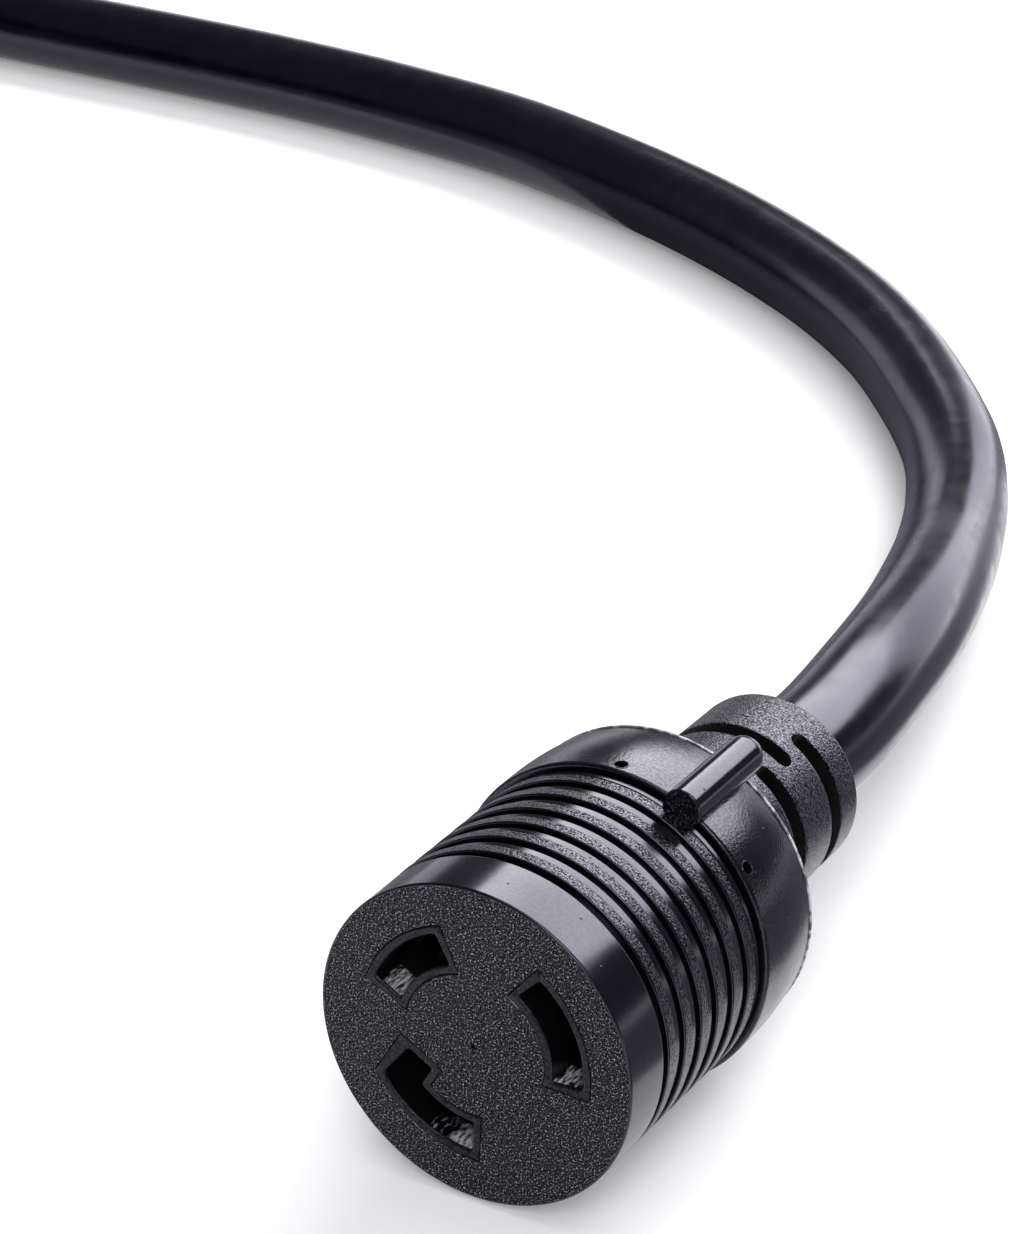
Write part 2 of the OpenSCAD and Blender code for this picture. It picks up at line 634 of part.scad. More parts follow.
module plug_body() color(black_pvc) difference() {
    union() {
        in_plug() {
            rotate_extrude() polygon(head_profile);
            shoulders();
        }
        plug_turned(concat([[0, 0], [0, neck_r], [neck_l - neck_edge, neck_r]],
            [for (a = [75 : -15 : 0])
                [neck_l - neck_edge * (1 - cos(a)), neck_r - neck_edge * (1 - sin(a))]],
            [[neck_l, 0]]));
    }
    in_plug() {
        translate([0, 0, core_base]) cylinder(h = core_t, r = core_r);
        translate([0, 0, core_top - eps]) linear_extrude(plug_skin_t + 1)
            all_blades_2d(collar_wall + collar_gap);
        for (i = [0 : 2]) {
            foot(i, fit_gap);
            plug_rod(i, plug_barrel_s, plug_barrel_s + plug_barrel_l, barrel_r + fit_gap);
            plug_rod(i, plug_barrel_s + plug_barrel_l - eps, plug_strip_s + eps, strand_r + fit_gap);
            plug_channel(i);
        }
        translate([0, 0, foot_base]) linear_extrude(core_base - foot_base + eps)
            all_blades_2d(fit_gap);
    }
    on_plug_axis() {
        disc(plug_flange_s - throat_l, plug_flange_s, throat_r);
        disc(plug_flange_s - eps, plug_flange_s + flange_t, neck_flange_r);
        disc(plug_flange_s, neck_l + 1, plug_relief_r);
    }
}

module plug_core() color(dark_nylon) in_plug() difference() {
    union() {
        translate([0, 0, core_base]) cylinder(h = core_t, r = core_r);
        translate([0, 0, core_top - eps]) linear_extrude(plug_skin_t + eps)
            all_blades_2d(collar_wall);
    }
    translate([0, 0, core_base - 1]) linear_extrude(head_t) all_blades_2d();
}

module crimp(i) difference() {
    plug_rod(i, plug_barrel_s, plug_barrel_s + plug_barrel_l, barrel_r);
    plug_rod(i, plug_barrel_s + 2, plug_barrel_s + plug_barrel_l + 1, strand_r);
}

// A flat blade with a bevelled tip, on the foot of its crimp barrel.
module blade(i) color(brass) in_plug() {
    b = blade_places[i];
    tip = head_t + blade_l;
    translate([b[0], b[1], 0]) rotate([0, 0, b[2]]) {
        translate([0, 0, foot_base]) linear_extrude(tip - blade_tip - foot_base) blade_2d();
        translate([0, 0, tip - blade_tip - eps]) rotate([90, 0, 0]) linear_extrude(blade_t, center = true)
            polygon([[-blade_w / 2, 0], [blade_w / 2, 0], [blade_w / 2 - blade_tip, blade_tip],
                     [-blade_w / 2 + blade_tip, blade_tip]]);
    }
    foot(i);
    crimp(i);
}

module ground_pin() color(brass) in_plug() {
    translate([pin_x, 0, foot_base]) cylinder(h = head_t + blade_tip - foot_base, r = shank_r);
    translate([pin_x, 0, head_t]) cylinder(h = pin_l - pin_r, r = pin_r);
    translate([pin_x, 0, head_t + pin_l - pin_r]) sphere(r = pin_r);
    foot(2);
    crimp(2);
}

module plug_strands() color(copper) in_plug() for (i = [0 : 2])
    plug_rod(i, plug_barrel_s + 2, plug_strip_s + strip_l, strand_r);

module plug_wire(i) in_plug() difference() {
    plug_wire_shape(i);
    plug_rod(i, plug_strip_s - 1, plug_strip_s + strip_l, strand_r);
}

module plug_jacket_end() color(black_rubber) on_plug_axis() difference() {
    disc(plug_flange_s, plug_l, cord_r);
    for (t = plug_wire_turn) translate([-wire_in_jacket * cos(t), wire_in_jacket * sin(t), 0])
        disc(plug_flange_s - 1, plug_flange_s + wire_end_l, wire_r + fit_gap);
}

module plug_relief() color(black_pvc) difference() {
    plug_turned(concat(
        [[plug_flange_s, cord_r], [plug_flange_s, neck_flange_r],
         [plug_flange_s + flange_t, neck_flange_r], [plug_flange_s + flange_t, plug_relief_r]],
        relief_outline(neck_l, relief_cone_l, plug_l, plug_relief_r, plug_relief_r,
                       plug_relief_end_r),
        [[plug_l, cord_r]]));
    on_plug_axis() flex_slots(neck_l + flex_first - 3, plug_relief_r);
}

connector_body();
contact_carrier();
carrier_cap();
contact(0);  // line_contact
contact(1);  // neutral_contact
contact(2);  // ground_contact
connector_strands();
color(black_rubber) connector_wire(0);  // line_wire
color(white_pvc) connector_wire(1);  // neutral_wire
color(green_pvc) connector_wire(2);  // ground_wire
connector_jacket_end();
connector_relief();
cord_lead();
cord_coil();
cord_tail();
plug_relief();
plug_jacket_end();
plug_body();
plug_core();
blade(0);  // line_blade
blade(1);  // neutral_blade
ground_pin();
plug_strands();
color(black_rubber) plug_wire(0);  // plug_line_wire
color(white_pvc) plug_wire(1);  // plug_neutral_wire
color(green_pvc) plug_wire(2);  // plug_ground_wire
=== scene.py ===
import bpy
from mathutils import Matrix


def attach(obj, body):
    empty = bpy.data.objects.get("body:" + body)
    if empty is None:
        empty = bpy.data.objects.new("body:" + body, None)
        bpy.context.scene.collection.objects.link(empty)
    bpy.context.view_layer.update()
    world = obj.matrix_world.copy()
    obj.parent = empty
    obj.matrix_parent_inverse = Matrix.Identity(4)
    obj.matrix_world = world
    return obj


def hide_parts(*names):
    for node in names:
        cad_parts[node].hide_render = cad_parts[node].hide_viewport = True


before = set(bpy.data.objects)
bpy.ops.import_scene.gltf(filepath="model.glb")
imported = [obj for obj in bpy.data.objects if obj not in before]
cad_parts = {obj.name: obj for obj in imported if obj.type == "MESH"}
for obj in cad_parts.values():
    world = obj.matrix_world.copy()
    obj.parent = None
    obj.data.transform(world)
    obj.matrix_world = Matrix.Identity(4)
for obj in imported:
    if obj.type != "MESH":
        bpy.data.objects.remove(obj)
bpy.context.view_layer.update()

import math
import random

import bmesh
import bpy
import numpy as np
from mathutils import Quaternion, Vector
from mathutils.geometry import delaunay_2d_cdt

mm = 0.001  # all shapes below are drawn in millimetres
tau = 2 * math.pi
mergeDistance = 0.001 * mm
sheetTolerance = 1e-7
sharpDeg = 38  # faces that meet at more than this keep a crisp edge
print("frame loaded:", len(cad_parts), "nodes")

cameraSettings = {
    "place": (239.54, -434.91, 317.12),
    "headingDeg": 30.798,  # to the left of +Y
    "tiltDeg": 26.469,     # below the horizon
    "lensMm": 119.27,
    "sensorMm": 36.0,
}


def addCamera(settings):
    data = bpy.data.cameras.new("camera")
    data.lens = settings["lensMm"]
    data.sensor_width = settings["sensorMm"]
    data.clip_start = 0.01
    camera = bpy.data.objects.new("camera", data)
    bpy.context.scene.collection.objects.link(camera)
    camera.location = Vector(settings["place"]) * mm
    camera.rotation_euler = (math.radians(90 - settings["tiltDeg"]), 0, math.radians(settings["headingDeg"]))
    bpy.context.scene.camera = camera


addCamera(cameraSettings)
print("camera placed")


# Materials

def linearColour(hexColour, alpha=1.0):  # sRGB hex to the linear values that the shaders work in
    parts = [int(hexColour[i:i + 2], 16) / 255 for i in (1, 3, 5)]
    return tuple(c / 12.92 if c <= 0.04045 else ((c + 0.055) / 1.055) ** 2.4 for c in parts) + (alpha,)


def addNode(tree, kind, inputs=None, **settings):
    node = tree.nodes.new(kind)
    for name, value in settings.items():
        setattr(node, name, value)
    for socket, value in (inputs or {}).items():
        if isinstance(value, bpy.types.NodeSocket):
            tree.links.new(value, node.inputs[socket])
        else:
            node.inputs[socket].default_value = value
    return node


def newMaterial(name, **sockets):
    material = bpy.data.materials.new(name)
    material.use_nodes = True
    shader = material.node_tree.nodes["Principled BSDF"]
    for socket, value in sockets.items():
        shader.inputs[socket.replace("_", " ")].default_value = value
    return material, material.node_tree, shader


def perMetre(sizeMm):  # texture scale for a pattern whose features are this wide
    return 1 / (sizeMm * mm)


pitRoughness = 0.35  # a pit is this much rougher than the skin round it


def blackPlastic(name, look):
    # Soft black PVC. Its mould finish sets the look: grain from spark erosion, with tips painted paler and
    # shinier as painted sparkle and hollows made dull as painted shade, or waviness and pits where the mould
    # was polished.
    material, tree, shader = newMaterial(name, IOR=look["ior"], Specular_Tint=linearColour(look["tint"]))
    place = addNode(tree, "ShaderNodeTexCoord").outputs["Object"]
    cloud = addNode(tree, "ShaderNodeTexNoise", {"Vector": place, "Scale": perMetre(look["cloudMm"]),
                    "Detail": 3.0})
    grain = addNode(tree, "ShaderNodeTexNoise", {"Vector": place, "Scale": perMetre(look["grainMm"]),
                    "Detail": 1.0, "Roughness": 0.5})
    # The grain's tips get the tips colour: on the face and ribs a pale painted sparkle, specks of painted
    # highlight.
    ramp = addNode(tree, "ShaderNodeValToRGB", {"Fac": grain.outputs["Fac"]})
    ramp.color_ramp.elements.new(0.5)
    for element, position, colour in zip(ramp.color_ramp.elements, look["steps"],
                                         (look["dark"], look["light"], look["tips"])):
        element.position = position
        element.color = linearColour(colour)
    tree.links.new(ramp.outputs["Color"], shader.inputs["Base Color"])
    # Specular strength follows the grain: dull hollows as painted shade, shinier tips as painted sparkle.
    shine = addNode(tree, "ShaderNodeMapRange", {"Value": grain.outputs["Fac"],
                    "From Min": look["shineAt"][0], "From Max": look["shineAt"][1],
                    "To Min": look["shine"][0], "To Max": look["shine"][1]})
    tree.links.new(shine.outputs["Result"], shader.inputs["Specular IOR Level"])
    dots = addNode(tree, "ShaderNodeTexVoronoi", {"Vector": place, "Scale": perMetre(look["pitApartMm"])})
    pits = addNode(tree, "ShaderNodeMapRange", {"Value": dots.outputs["Distance"],
                   "From Min": 0.5 * look["pitMm"] / look["pitApartMm"],
                   "From Max": look["pitMm"] / look["pitApartMm"], "To Min": 1.0, "To Max": 0.0})
    smooth = addNode(tree, "ShaderNodeMapRange", {"Value": cloud.outputs["Fac"],
                     "From Min": 0.3, "From Max": 0.7,
                     "To Min": look["roughness"][0], "To Max": look["roughness"][1]})
    rough = addNode(tree, "ShaderNodeMath", {0: pits.outputs["Result"], 1: pitRoughness,
                    2: smooth.outputs["Result"]}, operation="MULTIPLY_ADD")
    tree.links.new(rough.outputs["Value"], shader.inputs["Roughness"])
    wave = addNode(tree, "ShaderNodeTexNoise", {"Vector": place, "Scale": perMetre(look["waveMm"]),
                   "Detail": 1.0})
    bump = addNode(tree, "ShaderNodeBump", {"Height": wave.outputs["Fac"], "Strength": 1.0,
                   "Distance": look["waveHeightMm"] * mm})
    bump = addNode(tree, "ShaderNodeBump", {"Height": pits.outputs["Result"], "Strength": 1.0,
                   "Distance": -look["pitHeightMm"] * mm, "Normal": bump.outputs["Normal"]})
    bump = addNode(tree, "ShaderNodeBump", {"Height": grain.outputs["Fac"], "Strength": 1.0,
                   "Distance": look["grainHeightMm"] * mm, "Normal": bump.outputs["Normal"]})
    tree.links.new(bump.outputs["Normal"], shader.inputs["Normal"])
    return material


pvcSkin = {  # shared by all moulded pieces; each mould finish below names what differs
    "ior": 1.54, "tint": "#eae8ff", "dark": "#020203", "shineAt": (0.4, 0.6), "cloudMm": 6.0, "waveMm": 9.0,
    "waveHeightMm": 0.03, "pitApartMm": 4.0, "pitMm": 0.01, "pitHeightMm": 0.0,
}
# The face's pale grain tips are painted sparkle.
faceGrainAndSparkle = {
    **pvcSkin, "light": "#040405", "tips": "#b0b0b8", "steps": (0.48, 0.6, 0.7), "shine": (0.0, 0.29),
    "shineAt": (0.38, 0.52), "roughness": (0.2, 0.26), "grainMm": 0.25, "grainHeightMm": 0.34,
}
# The ribs' grey grain tips are painted sparkle too.
ribGrainAndSparkle = {
    **pvcSkin, "light": "#060608", "tips": "#3a3a40", "steps": (0.38, 0.57, 0.72), "shine": (0.1, 0.95),
    "shineAt": (0.38, 0.58), "roughness": (0.22, 0.28), "grainMm": 0.3, "grainHeightMm": 0.12,
}
polishedSkin = {
    **pvcSkin, "dark": "#050507", "light": "#070709", "tips": "#0b0b0e", "steps": (0.36, 0.55, 0.7),
    "shine": (0.45, 0.5), "cloudMm": 7.0, "roughness": (0.15, 0.2), "waveMm": 8.0, "grainMm": 0.5,
    "grainHeightMm": 0.003, "pitApartMm": 3.0, "pitMm": 0.22, "pitHeightMm": 0.03,
}
satinSkin = {
    **polishedSkin, "tips": "#0e0e11", "shine": (0.36, 0.55), "roughness": (0.18, 0.24), "waveMm": 9.0,
    "waveHeightMm": 0.025, "grainMm": 0.36, "grainHeightMm": 0.03, "pitApartMm": 2.6, "pitMm": 0.15,
    "pitHeightMm": 0.02,
}
# The flash lip is real, but its pale greys are painted highlight, the bright line its edge would catch.
flashAndHighlightSkin = {
    **pvcSkin, "dark": "#4a4a50", "light": "#8a8a92", "tips": "#d0d0d8", "steps": (0.3, 0.5, 0.62),
    "shine": (0.5, 0.5), "cloudMm": 3.0, "roughness": (0.25, 0.35), "waveMm": 3.0, "waveHeightMm": 0.02,
    "grainMm": 1.1, "grainHeightMm": 0.02,
}
collarSkin = {
    **pvcSkin, "ior": 1.53, "dark": "#040405", "light": "#060607", "tips": "#0a0a0c",
    "steps": (0.36, 0.55, 0.7), "shine": (0.15, 0.4), "cloudMm": 3.0, "roughness": (0.36, 0.44),
    "waveMm": 4.0, "waveHeightMm": 0.02,
    "grainMm": 0.3, "grainHeightMm": 0.01, "pitApartMm": 2.0, "pitMm": 0.1, "pitHeightMm": 0.01,
}
sparkFace = blackPlastic("coarse spark-eroded black PVC, painted specks", faceGrainAndSparkle)  # a dark field with tiny bright specks, painted pale on the grain's tips as painted sparkle
textured = blackPlastic("spark-eroded black PVC, painted sparkle", ribGrainAndSparkle)  # dull black with a fine sparkle, partly painted as grey grain tips
polished = blackPlastic("polished black PVC", polishedSkin)  # nearly a mirror, with a few small pits
satin = blackPlastic("satin black PVC", satinSkin)  # a softer, slightly wavy mirror
flashAndHighlight = blackPlastic("moulding flash with painted highlight, black PVC", flashAndHighlightSkin)  # a thin pale line where the mould parted, pale as a painted highlight along the rim
collarNylon = blackPlastic("matte black nylon", collarSkin)  # dead black beside the shiny shell


def scrapedNylonWithPaintedHighlight(look):
    # Black nylon of a slot's mouth with pale scrape lines, painted pale in patches on its walls that face up,
    # towards the lamps, as a painted highlight.
    material, tree, shader = newMaterial("slot mouth, black nylon, scrapes and painted highlight", Roughness=look["roughness"],
                                         IOR=look["ior"])
    place = addNode(tree, "ShaderNodeTexCoord").outputs["Object"]
    stretch = addNode(tree, "ShaderNodeVectorMath", {0: place, 1: (1, look["lineRatio"], 1)},
                      operation="MULTIPLY")
    lines = addNode(tree, "ShaderNodeTexNoise", {"Vector": stretch.outputs["Vector"],
                    "Scale": perMetre(look["lineMm"]), "Detail": 2.0, "Roughness": 0.6})
    # Walls facing up, towards the lamps, are painted pale as painted highlight; walls facing away stay black.
    facing = addNode(tree, "ShaderNodeNewGeometry").outputs["Normal"]
    low = addNode(tree, "ShaderNodeVectorMath", {0: facing, 1: look["litFacing"]}, operation="DOT_PRODUCT")
    paintedHighlightMask = addNode(tree, "ShaderNodeMapRange", {"Value": low.outputs["Value"], "From Min": look["litFrom"],
                   "From Max": 1.0, "To Min": look["shadedWall"], "To Max": 0.0}).outputs["Result"]
    flat = addNode(tree, "ShaderNodeVectorMath", {0: place, 1: (1, 0, 1)},
                   operation="MULTIPLY").outputs["Vector"]
    # Patches about the listed places are painted pale too, as painted highlight where light falls into the
    # slots.
    nearest = None
    for x, z, reach in look["places"]:
        away = addNode(tree, "ShaderNodeVectorMath", {0: flat, 1: (x * mm, 0, z * mm)}, operation="DISTANCE")
        near = addNode(tree, "ShaderNodeMapRange", {"Value": away.outputs["Value"],
                       "From Min": 0.5 * reach * mm, "From Max": reach * mm, "To Min": look["gain"],
                       "To Max": look["awayFromHighlight"]}).outputs["Result"]
        if nearest:
            near = addNode(tree, "ShaderNodeMath", {0: near, 1: nearest},
                           operation="MAXIMUM").outputs["Value"]
        nearest = near
    paintedHighlightMask = addNode(tree, "ShaderNodeMath", {0: paintedHighlightMask, 1: nearest}, operation="ADD").outputs["Value"]
    scrapesAndHighlight = addNode(tree, "ShaderNodeMath", {0: lines.outputs["Fac"], 1: paintedHighlightMask}, operation="ADD")
    ramp = addNode(tree, "ShaderNodeValToRGB", {"Fac": scrapesAndHighlight.outputs["Value"]})
    ramp.color_ramp.elements[0].position, ramp.color_ramp.elements[1].position = look["edges"]
    ramp.color_ramp.elements[0].color = linearColour(look["dark"])
    ramp.color_ramp.elements[1].color = linearColour(look["scrapeAndHighlight"])
    tree.links.new(ramp.outputs["Color"], shader.inputs["Base Color"])
    bump = addNode(tree, "ShaderNodeBump", {"Height": lines.outputs["Fac"], "Strength": 1.0,
                   "Distance": look["lineHeightMm"] * mm})
    tree.links.new(bump.outputs["Normal"], shader.inputs["Normal"])
    return material


# The pale mouth walls are painted highlight laid over pale scrape lines.
slotMouth = scrapedNylonWithPaintedHighlight({
    "ior": 1.53, "dark": "#09090b", "scrapeAndHighlight": "#cfcfd8", "roughness": 0.28, "lineRatio": 0.2, "lineMm": 0.34,
    "lineHeightMm": 0.1, "edges": (0.46, 0.74), "litFacing": (0.3, 0.0, 0.954), "litFrom": 0.5,
    "shadedWall": -0.3, "awayFromHighlight": -0.25, "gain": 0.11,  # the places are (across, up, reach) in mm
    "places": [(-13.2, 28.6, 3.0), (14.2, 23.2, 3.2), (-5.2, 11.6, 3.2), (-1.8, 9.0, 3.6)],
})


def plainMaterial(name, colour, roughness, metallic=0.0, cloud=0.15, cloudMm=2.0):
    # A small part's finish: one colour with faint mottling, as drawn or moulded.
    material, tree, shader = newMaterial(name, Metallic=metallic)
    place = addNode(tree, "ShaderNodeTexCoord").outputs["Object"]
    noise = addNode(tree, "ShaderNodeTexNoise", {"Vector": place, "Scale": perMetre(cloudMm), "Detail": 3.0})
    ramp = addNode(tree, "ShaderNodeValToRGB", {"Fac": noise.outputs["Fac"]})
    base = linearColour(colour)
    ramp.color_ramp.elements[0].color = tuple(c * (1 - cloud) for c in base[:3]) + (1,)
    ramp.color_ramp.elements[1].color = base
    tree.links.new(ramp.outputs["Color"], shader.inputs["Base Color"])
    rough = addNode(tree, "ShaderNodeMapRange", {"Value": noise.outputs["Fac"], "To Min": roughness * 0.8,
                    "To Max": roughness * 1.2})
    tree.links.new(rough.outputs["Result"], shader.inputs["Roughness"])
    return material


brass = plainMaterial("brass darkened as painted shade", "#4f3e20", 0.45, metallic=1.0)  # darkened as painted shade, a dim glint deep in the slots
bladeBrass = plainMaterial("bright brass", "#c2a05a", 0.3, metallic=1.0)  # new blades: warm, soft mirror
hollow = plainMaterial("black nylon, deep inside", "#050506", 0.5)  # black where no light reaches
copper = plainMaterial("bare copper strand", "#c8703e", 0.35, metallic=1.0)  # warm orange strand ends
# The wires' insulation: plain, slightly soft colours that tell the three wires apart
blackInsulation = plainMaterial("black PVC insulation", "#19191b", 0.4)
whiteInsulation = plainMaterial("white PVC insulation", "#e4e3dc", 0.4)
greenInsulation = plainMaterial("green PVC insulation", "#1f7a3c", 0.4)


def jacketMaterial(look):
    # Extruded thermoplastic rubber: smooth, with faint streaks along the cord and scuffs.
    material, tree, shader = newMaterial("extruded cord jacket", IOR=look["ior"],
                                         Specular_Tint=linearColour(look["tint"]))
    lay = addNode(tree, "ShaderNodeAttribute", attribute_name="lay").outputs["Vector"]
    stretch = addNode(tree, "ShaderNodeVectorMath", {0: lay, 1: (look["streakRatio"], 1, 1)},
                      operation="MULTIPLY")
    streak = addNode(tree, "ShaderNodeTexNoise", {"Vector": stretch.outputs["Vector"],
                     "Scale": perMetre(look["streakMm"]), "Detail": 2.0})
    smudge = addNode(tree, "ShaderNodeTexNoise", {"Vector": lay, "Scale": perMetre(look["smudgeMm"]),
                     "Detail": 4.0})
    both = addNode(tree, "ShaderNodeMath", {0: streak.outputs["Fac"], 1: smudge.outputs["Fac"]},
                   operation="ADD")
    ramp = addNode(tree, "ShaderNodeValToRGB", {"Fac": smudge.outputs["Fac"]})
    ramp.color_ramp.elements[0].position, ramp.color_ramp.elements[1].position = look["edges"]
    ramp.color_ramp.elements[0].color = linearColour(look["dark"])
    ramp.color_ramp.elements[1].color = linearColour(look["light"])
    tree.links.new(ramp.outputs["Color"], shader.inputs["Base Color"])
    rough = addNode(tree, "ShaderNodeMapRange", {"Value": both.outputs["Value"],
                    "From Min": 0.7, "From Max": 1.3,
                    "To Min": look["roughness"][0], "To Max": look["roughness"][1]})
    tree.links.new(rough.outputs["Result"], shader.inputs["Roughness"])
    bump = addNode(tree, "ShaderNodeBump", {"Height": streak.outputs["Fac"], "Strength": 1.0,
                   "Distance": look["streakHeightMm"] * mm})
    bump = addNode(tree, "ShaderNodeBump", {"Height": smudge.outputs["Fac"], "Strength": 1.0,
                   "Distance": look["smudgeHeightMm"] * mm, "Normal": bump.outputs["Normal"]})
    tree.links.new(bump.outputs["Normal"], shader.inputs["Normal"])
    return material


jacket = jacketMaterial({
    "ior": 1.52, "tint": "#e4e0ff", "dark": "#05050b", "light": "#0a0a13", "edges": (0.4, 0.75),
    "roughness": (0.17, 0.28), "streakRatio": 0.03, "streakMm": 2.5, "streakHeightMm": 0.012, "smudgeMm": 5.0,
    "smudgeHeightMm": 0.006,
})
print("materials made")


# Shapes are collected as points, faces and the number of each face's material

def newShape():
    return {"points": [], "faces": [], "finishes": []}


def addLoop(shape, points):
    first = len(shape["points"])
    shape["points"].extend(Vector(p) for p in points)
    return list(range(first, len(shape["points"])))


def addFace(shape, corners, finish=0):
    shape["faces"].append(tuple(corners))
    shape["finishes"].append(finish)


def bridge(shape, one, two, finish=0):  # joins two closed loops of as many points
    for i in range(len(one)):
        j = (i + 1) % len(one)
        addFace(shape, (one[i], one[j], two[j], two[i]), finish)


def stackLoops(shape, loops, finishes):  # walls between neighbouring loops of points
    placed = [addLoop(shape, loop) for loop in loops]
    for i in range(len(placed) - 1):
        bridge(shape, placed[i], placed[i + 1], finishes if isinstance(finishes, int) else finishes[i])
    return placed


def circlePoints(r, count):
    return [(r * math.cos(tau * i / count), r * math.sin(tau * i / count)) for i in range(count)]


def insideOutline(points, outline):  # even-odd test of many points at once
    x, y = points[:, 0], points[:, 1]
    inside = np.zeros(len(points), bool)
    ends = np.array(outline, float)
    for (x1, y1), (x2, y2) in zip(ends, np.roll(ends, -1, axis=0)):
        crosses = (y1 > y) != (y2 > y)
        if y1 != y2:
            inside ^= crosses & (x < (x2 - x1) * (y - y1) / (y2 - y1) + x1)
    return inside


def fillSheet(shape, outer, holes, place, finish=0, spots=()):
    # Triangles between an outer outline and its holes, drawn flat and then put in place. Spots are
    # points within, which keep the triangles small where the sheet is rolled up.
    flat, edges = [], []
    for outline in [outer, *holes]:
        first = len(flat)
        flat += [tuple(p) for p in outline]
        edges += [(first + i, first + (i + 1) % len(outline)) for i in range(len(outline))]
    flat += [tuple(p) for p in spots]
    made = delaunay_2d_cdt([Vector(p) for p in flat], edges, [], 0, sheetTolerance)
    points = np.array([tuple(p) for p in made[0]])
    triangles = np.array(made[2])
    middles = points[triangles].mean(axis=1)
    keep = insideOutline(middles, outer)
    for hole in holes:
        keep &= ~insideOutline(middles, hole)
    placed = addLoop(shape, [place(*p) for p in points])
    for triangle in triangles[keep]:
        addFace(shape, [placed[i] for i in triangle], finish)


def roundProfile(corners, steps=4):
    # Each corner is (distance along, radius, fillet); the fillet becomes an arc-like curve.
    result = []
    for i, (s, r, fillet) in enumerate(corners):
        if not fillet or i in (0, len(corners) - 1):
            result.append((s, r))
            continue
        here = Vector((s, r))
        before = (Vector(corners[i - 1][:2]) - here).normalized()
        after = (Vector(corners[i + 1][:2]) - here).normalized()
        for k in range(steps + 1):
            t = k / steps
            result.append(tuple((1 - t) ** 2 * (here + before * fillet) + 2 * t * (1 - t) * here
                                + t * t * (here + after * fillet)))
    return result


def finishPiece(name, shape, materials, weighted=True, body="root"):
    # Makes the collected shape an object: merged, facing outwards and smooth up to the sharp angle.
    mesh = bpy.data.meshes.new(name)
    mesh.from_pydata([p * mm for p in shape["points"]], [], shape["faces"])
    for material in materials:
        mesh.materials.append(material)
    mesh.polygons.foreach_set("material_index", shape["finishes"])
    work = bmesh.new()
    work.from_mesh(mesh)
    bmesh.ops.remove_doubles(work, verts=work.verts, dist=mergeDistance)
    bmesh.ops.dissolve_degenerate(work, edges=work.edges, dist=mergeDistance)
    bmesh.ops.recalc_face_normals(work, faces=work.faces)
    openEdges = sum(1 for e in work.edges if len(e.link_faces) != 2)
    work.to_mesh(mesh)
    work.free()
    mesh.polygons.foreach_set("use_smooth", [True] * len(mesh.polygons))
    mesh.set_sharp_from_angle(angle=math.radians(sharpDeg))
    piece = bpy.data.objects.new(name, mesh)
    bpy.context.scene.collection.objects.link(piece)
    if weighted:
        modifier = piece.modifiers.new("even shading", "WEIGHTED_NORMAL")
        modifier.keep_sharp = True
        modifier.weight = 100
    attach(piece, body)
    print(f"{name}: {len(mesh.polygons)} faces, {openEdges} open edges")
    return piece


# Cord

cord = {
    "diameter": 18.3,
    "exit": (0, 43.014, 24.8),
    "lead": [(-2, 80, 24.6), (-6, 101, 22.6), (-13, 125, 18.3), (-22, 151, 13.1),
             (-32, 176, 9.9), (-43, 197, 9.15), (-58, 217, 9.15), (-75, 236, 9.15),
             (-95, 253, 9.15), (-118, 268, 9.15), (-143, 281, 9.15), (-170, 292, 9.15),
             (-198, 301, 9.15), (-227, 306, 9.15), (-257, 309, 9.15), (-288, 310, 9.15),
             (-320, 310, 9.15), (-352, 310, 9.15), (-384, 310, 9.15), (-416, 310, 9.15)],
    "coilMiddle": (-455, 150),
    "coilRadius": 160,
    "coilPitch": 18.9,
    "coilTurns": 4,
    "layerHeight": 19,
    "climbDip": 3.2,
    "tail": [(-401, -10, 27.3), (-383, -10, 24.5), (-363, -10, 20.3), (-343, -10, 16.8), (-322, -10, 15.2)],
    "plugEnd": (-280, -10, 15),
    "sides": 32,
    "ringStep": 4.0,
    "lumpHeight": 0.06,   # faint unevenness of the extruded jacket, as waves along and round it
    "lumpCount": 7,
    "lumpLengths": (25, 90),
    "lumpFade": 40,       # none of it at the ends, where the jacket enters its strain reliefs
    "seed": 11,
}


def coilPoints(settings, stepDeg=6):  # a flat spiral inwards, a climb, and the same spiral outwards on top
    radius, pitch = settings["coilRadius"], settings["coilPitch"]
    low = settings["diameter"] / 2
    middle = settings["coilMiddle"]
    layer = 360 * settings["coilTurns"] + 180
    inner = radius - pitch * layer / 360
    points = [Vector((middle[0] + settings["diameter"], middle[1] + radius, low))]
    for angle in range(0, 2 * layer + 181, stepDeg):
        if angle <= layer:
            r = radius - pitch * angle / 360
        elif angle <= layer + 180:
            r = inner - settings["climbDip"] * math.sin(math.radians(angle - layer))
        else:
            r = inner + pitch * (angle - layer - 180) / 360
        t = max(0, min(1, (angle - layer) / 180))
        height = low + settings["layerHeight"] * t * t * (3 - 2 * t)
        turn = math.radians(90 + angle)
        points.append(Vector((middle[0] + r * math.cos(turn), middle[1] + r * math.sin(turn), height)))
    points.append(Vector((middle[0] + settings["diameter"], middle[1] - radius,
                          low + settings["layerHeight"])))
    return points


def smoothThrough(points, step):  # a Catmull-Rom curve through the points, then even steps along it
    points = [points[0] * 2 - points[1], *points, points[-1] * 2 - points[-2]]
    fine = []
    for a, b, c, d in zip(points, points[1:], points[2:], points[3:]):
        for k in range(12):
            t = k / 12
            fine.append(0.5 * (2 * b + (c - a) * t + (2 * a - 5 * b + 4 * c - d) * t * t
                               + (3 * b - a - 3 * c + d) * t ** 3))
    fine.append(points[-2])
    route = np.array([tuple(p) for p in fine])
    along = np.concatenate([[0], np.cumsum(np.linalg.norm(np.diff(route, axis=0), axis=1))])
    places = np.linspace(0, along[-1], max(2, round(along[-1] / step)))
    return np.stack([np.interp(places, along, route[:, k]) for k in range(3)], axis=1), along[-1]


